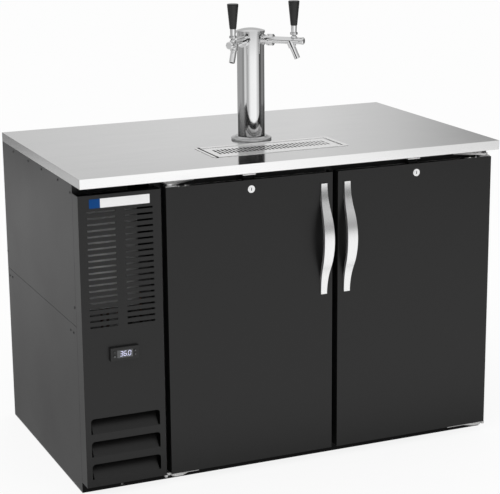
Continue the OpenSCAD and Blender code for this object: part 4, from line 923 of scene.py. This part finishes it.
# %% Shape of the filter
coil_low, coil_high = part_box("condenser_coil")
RAIL = 7 * MM
FRAME_AHEAD, CLOTH_AHEAD, BACK_AHEAD = 4 * MM, 2.5 * MM, 1 * MM
CLOTH_THICK = 0.4 * MM


def slab(shape, low, high):
    size = [b - a for a, b in zip(low, high)]
    middle = [(a + b) / 2 for a, b in zip(low, high)]
    bmesh.ops.create_cube(shape, size=1, matrix=Matrix.Translation(middle) @ Matrix.Diagonal((*size, 1)))


def lint_filter(shape):
    front, cloth_y, back = (coil_low.y - ahead for ahead in (FRAME_AHEAD, CLOTH_AHEAD, BACK_AHEAD))
    x0, x1, z0, z1 = coil_low.x, coil_high.x, coil_low.z, coil_high.z
    rails = (((x0, z0), (x1, z0 + RAIL)), ((x0, z1 - RAIL), (x1, z1)),
             ((x0, z0 + RAIL), (x0 + RAIL, z1 - RAIL)), ((x1 - RAIL, z0 + RAIL), (x1, z1 - RAIL)))
    for (left, bottom), (right, top) in rails:
        slab(shape, (left, front, bottom), (right, back, top))
    half = RAIL / 2
    slab(shape, (x0 + half, cloth_y, z0 + half), (x1 - half, cloth_y + CLOTH_THICK, z1 - half))


print("room for the filter in mm", [round(v / MM, 1) for v in coil_high - coil_low])

# %% [markdown]
# ## Wire cloth
# The weave of the cloth, with a wire every two millimetres, is finer than a pixel of the picture, so real
# wires would only flicker. A bump made of two crossed waves catches the light in the same way. The cloth is
# darker towards the fan, towards its left edge, and above and below one height.

# %% Lint filter
WEAVE = 3200
PALE_UP, PALE_HALF = coil_high.z * 0.8, 150 * MM
DARKER_FROM = coil_low.x + 70 * MM
LEFT_EDGE = (coil_low.x + 20 * MM, coil_low.x + 34 * MM)


def wire_cloth(name):
    material, graph = new_finish(name)
    place = surface_place(graph)
    axis = split(graph, place)
    warp, weft = (graph.add("ShaderNodeMath", {"operation": "SINE"}, {0: axis[way] * WEAVE})["Value"]
                  for way in "XZ")
    patchiness = noise(graph, place, 26, 5.0)
    near_fan = even_change(graph, axis["X"], DARKER_FROM, coil_high.x, 0.0, 0.9)
    near_left = even_change(graph, axis["X"], *LEFT_EDGE, 0.5, 0.0)
    from_middle = (axis["Z"] - PALE_UP) / PALE_HALF
    darkening = larger(graph, near_fan, larger(graph, near_left, from_middle * from_middle * 0.8))
    tone = blend_colours(graph, darkening * (0.8 + patchiness * 0.3), grey(228), grey(90))
    close_finish(graph, {"Base Color": tone, "Metallic": 0.2, "Roughness": 0.5 + patchiness * 0.2,
                         "Normal": bump(graph, warp * weft, 200 * MICRON)})
    return material


strainer = small_part("lint_filter", "cabinet", "fin_metal", wire_cloth("wire_cloth"), lint_filter)
print("filter in mm", [round(v / MM, 1) for v in strainer.dimensions])

# %% [markdown]
# ## The floor
# A pale floor runs far past the picture, so the white behind the cooler is simply floor. Paper alone would
# come out grey under light that suits the cooler, so to the camera, and to metal and glass, most of it is
# plain white. The rest is lit paper, which keeps the cooler's shadow.

# %% Floor
FLOOR_RADIUS, FLOOR_DROP = 80, 0.5 * MM
PAPER = (0.945, 0.945, 0.945, 1)
WHITE_SHARE = 0.87


def pale_floor(name):
    material, graph = new_finish(name)
    paper = graph.add("ShaderNodeBsdfDiffuse", {}, {"Color": PAPER})
    white = graph.add("ShaderNodeEmission", {}, {"Strength": 1.0})
    ray = graph.add("ShaderNodeLightPath", {}, {})
    seen = ray["Is Camera Ray"] + ray["Is Glossy Ray"] + ray["Is Transmission Ray"]
    both = graph.add("ShaderNodeMixShader", {}, {
        0: seen * WHITE_SHARE, 1: paper["BSDF"], 2: white["Emission"]})
    graph.add("ShaderNodeOutputMaterial", {}, {"Surface": both["Shader"]})
    return material


def disc(shape):
    bmesh.ops.create_circle(shape, cap_ends=True, segments=96, radius=FLOOR_RADIUS)


floor = new_piece("floor", pale_floor("pale_floor"), disc)
floor.location.z = -FLOOR_DROP
print("floor", round(floor.dimensions.x), "metres across")

# %% [markdown]
# ## Soft light
# Light comes from the whole of a soft, even surrounding, with one large soft lamp high on the left in front
# to give the cabinet a lighter and a darker side. Both stay at a level where a colour looks as it was
# written. The lamp is kept out of reflections, where it would show as a hard white square.

# %% Surrounding light and lamp
LAMP_SPOT, LAMP_AIM = Vector((-2.6, -3.0, 4.4)), Vector((0, 0, 0.6))
LAMP_SIZE, LAMP_WATTS = 3.0, 45
SURROUND = 0.9

world = bpy.data.worlds.new("soft_surround")
scene.world = world
air = Graph(world)
sky = air.add("ShaderNodeBackground", {}, {"Color": (1, 1, 1, 1), "Strength": SURROUND})
air.add("ShaderNodeOutputWorld", {}, {"Surface": sky["Background"]})

panel = bpy.data.lights.new("key_lamp", "AREA")
panel.size, panel.energy = LAMP_SIZE, LAMP_WATTS
key_lamp = bpy.data.objects.new("key_lamp", panel)
key_lamp.location = LAMP_SPOT
key_lamp.rotation_mode = "QUATERNION"
key_lamp.rotation_quaternion = (LAMP_AIM - LAMP_SPOT).to_track_quat("-Z", "Y")
key_lamp.visible_glossy = False
scene.collection.objects.link(key_lamp)
scene.view_settings.view_transform = "Standard"
print("lamp", panel.energy, "watts, surrounding", SURROUND)

# %% [markdown]
# ## Cards for the chrome to look at
# A mirror shows its room, and a plain white room makes chrome look like plaster. Photographers stand grey
# and black cards round a bright object, just out of the picture. Here one tall drum does it, and ramps give
# its brightness in each direction, in degrees: 0 is in front, 90 on the right, 180 behind. The low ramp
# serves upright chrome. Above it, one ramp serves what a surface mirrors directly, such as the back of the
# room in the worktop, and another what it mirrors in a second mirror, such as the foot of the column in the
# worktop. A black band lies over the second. A veil over all of them is paler, but for a grey window that
# the slopes of the door handles look into.

# %% Ramps of the cards
LOW_STOPS = ((-180, 0.37), (-106, 0.37), (-100, 0.29), (-83, 0.29), (-77, 0.76), (-64, 0.74), (-57, 0.47),
             (-46, 0.47), (-36, 0.8), (-24, 1.05), (18, 1.1), (26, 0.9), (32, 0.76), (38, 0.68), (46, 0.62),
             (49, 0.1), (69, 0.1), (73, 0.24), (97, 0.24), (102, 0.14), (122, 0.14), (134, 0.37),
             (180, 0.37))
SIDE_STOPS = ((-120, 0.38), (-88, 0.42), (-80, 0.22), (-70, 0.1), (-60, 0.03), (18, 0.01), (22, 0.42),
              (32, 0.42), (36, 0.01), (56, 0.03), (70, 0.18), (90, 0.2), (110, 0.08), (122, 0.08))
BACK_STOPS = ((128, 0.1), (135, 0.2), (141, 0.36), (146, 0.54), (152, 0.66), (162, 0.65), (174, 0.57),
              (180, 0.57))
LEFT_BACK_STOPS = tuple((-degrees, level) for degrees, level in reversed(BACK_STOPS))
DARK_BACK_STOPS = ((-180, 0.57), (-172, 0.5), (-165, 0.05), (-150, 0.1), (-138, 0.3))
FIRST_STOPS = LEFT_BACK_STOPS + SIDE_STOPS + BACK_STOPS
SECOND_STOPS = DARK_BACK_STOPS + SIDE_STOPS + BACK_STOPS
BLACK_STOPS = ((-180, 0.57), (-172, 0.5), (-165, 0.0), (118, 0.0)) + BACK_STOPS
WINDOW_STOPS = [(22, 0.22), (32, 0.22)]
VEIL_SHARE, VEIL_LEVEL = 0.4, 0.8
behind_veil = sorted([stop for stop in LOW_STOPS if not 18 < stop[0] < 38] + WINDOW_STOPS)
VEIL_STOPS = [(degrees, level + (VEIL_LEVEL - level) * VEIL_SHARE) for degrees, level in behind_veil]
ramps = (LOW_STOPS, FIRST_STOPS, SECOND_STOPS, BLACK_STOPS, VEIL_STOPS)
print("stops of the ramps", [len(stops) for stops in ramps])

# %% [markdown]
# ## The drum
# The drum's finish is all light. The height picks the ramp, with a short fade between one and the next, and
# the number of mirrors that the light has met tells a first reflection from a second. The bottom of the
# drum stands for the floor, white in front and greyer round the back of the cabinet. Only reflections see
# the drum, so it adds nothing to the light on paint, plastic and floor.

# %% Drum of cards
DRUM_RADIUS, DRUM_HEIGHT, DRUM_LIFT = 4.5, 5.0, 3 * MM
HIGH_FADE, BLACK_FADE, VEIL_FADE, LID_FADE = (0.5, 0.9), (1.58, 1.63), (1.8, 1.98), (3.9, 4.4)
VEIL_RAISED = 0.4
LID_PALE, GROUND_GREY, WHITE = [(v, v, v, 1) for v in (0.75, 0.5, 1.0)]
GROUND_TOP, GROUND_FADE, FRONT_FADE = 10 * MM, (0.8, 4.4), (-0.35, -0.7)


def card_light(name):
    material, graph = new_finish(name)
    axis = split(graph, graph.add("ShaderNodeTexCoord", {}, {})["Object"])
    up = axis["Z"]
    right_and_front = {0: axis["X"], 1: axis["Y"] * -1}
    angle = graph.add("ShaderNodeMath", {"operation": "ARCTAN2"}, right_and_front)["Value"]
    again = graph.add("ShaderNodeLightPath", {}, {})["Glossy Depth"] > 1.5

    def around(table):
        stops = [((degrees + 180) / 360, (level, level, level, 1)) for degrees, level in table]
        share = angle / (2 * math.pi) + 0.5
        return graph.add("ShaderNodeValToRGB", {"stops": stops}, {"Fac": share})["Color"]

    high = blend_colours(graph, again, around(FIRST_STOPS), around(SECOND_STOPS))
    veil = around(VEIL_STOPS)
    tone = blend_colours(graph, even_change(graph, up, *HIGH_FADE), around(LOW_STOPS), high)
    tone = blend_colours(graph, even_change(graph, up, *BLACK_FADE) * again, tone, around(BLACK_STOPS))
    tone = blend_colours(graph, even_change(graph, up - again * VEIL_RAISED, *VEIL_FADE), tone, veil)
    tone = blend_colours(graph, even_change(graph, up, *LID_FADE), tone, LID_PALE)
    away = (axis["X"] * axis["X"] + axis["Y"] * axis["Y"]) ** 0.5
    ground = blend_colours(graph, even_change(graph, away, *GROUND_FADE), GROUND_GREY, WHITE)
    ground = blend_colours(graph, even_change(graph, axis["Y"], *FRONT_FADE), ground, WHITE)
    tone = blend_colours(graph, up > GROUND_TOP, ground, tone)
    glow = graph.add("ShaderNodeEmission", {}, {"Color": tone, "Strength": 1.0})
    graph.add("ShaderNodeOutputMaterial", {}, {"Surface": glow["Emission"]})
    return material


def drum(shape):
    lift = Matrix.Translation((0, 0, DRUM_HEIGHT / 2 + DRUM_LIFT))
    bmesh.ops.create_cone(shape, cap_ends=True, segments=96, radius1=DRUM_RADIUS, radius2=DRUM_RADIUS,
                          depth=DRUM_HEIGHT, matrix=lift)


cards = new_piece("drum_of_cards", card_light("card_light"), drum)
cards.visible_camera = cards.visible_diffuse = cards.visible_shadow = cards.visible_transmission = False
print("drum of cards", DRUM_RADIUS, "metres in radius")
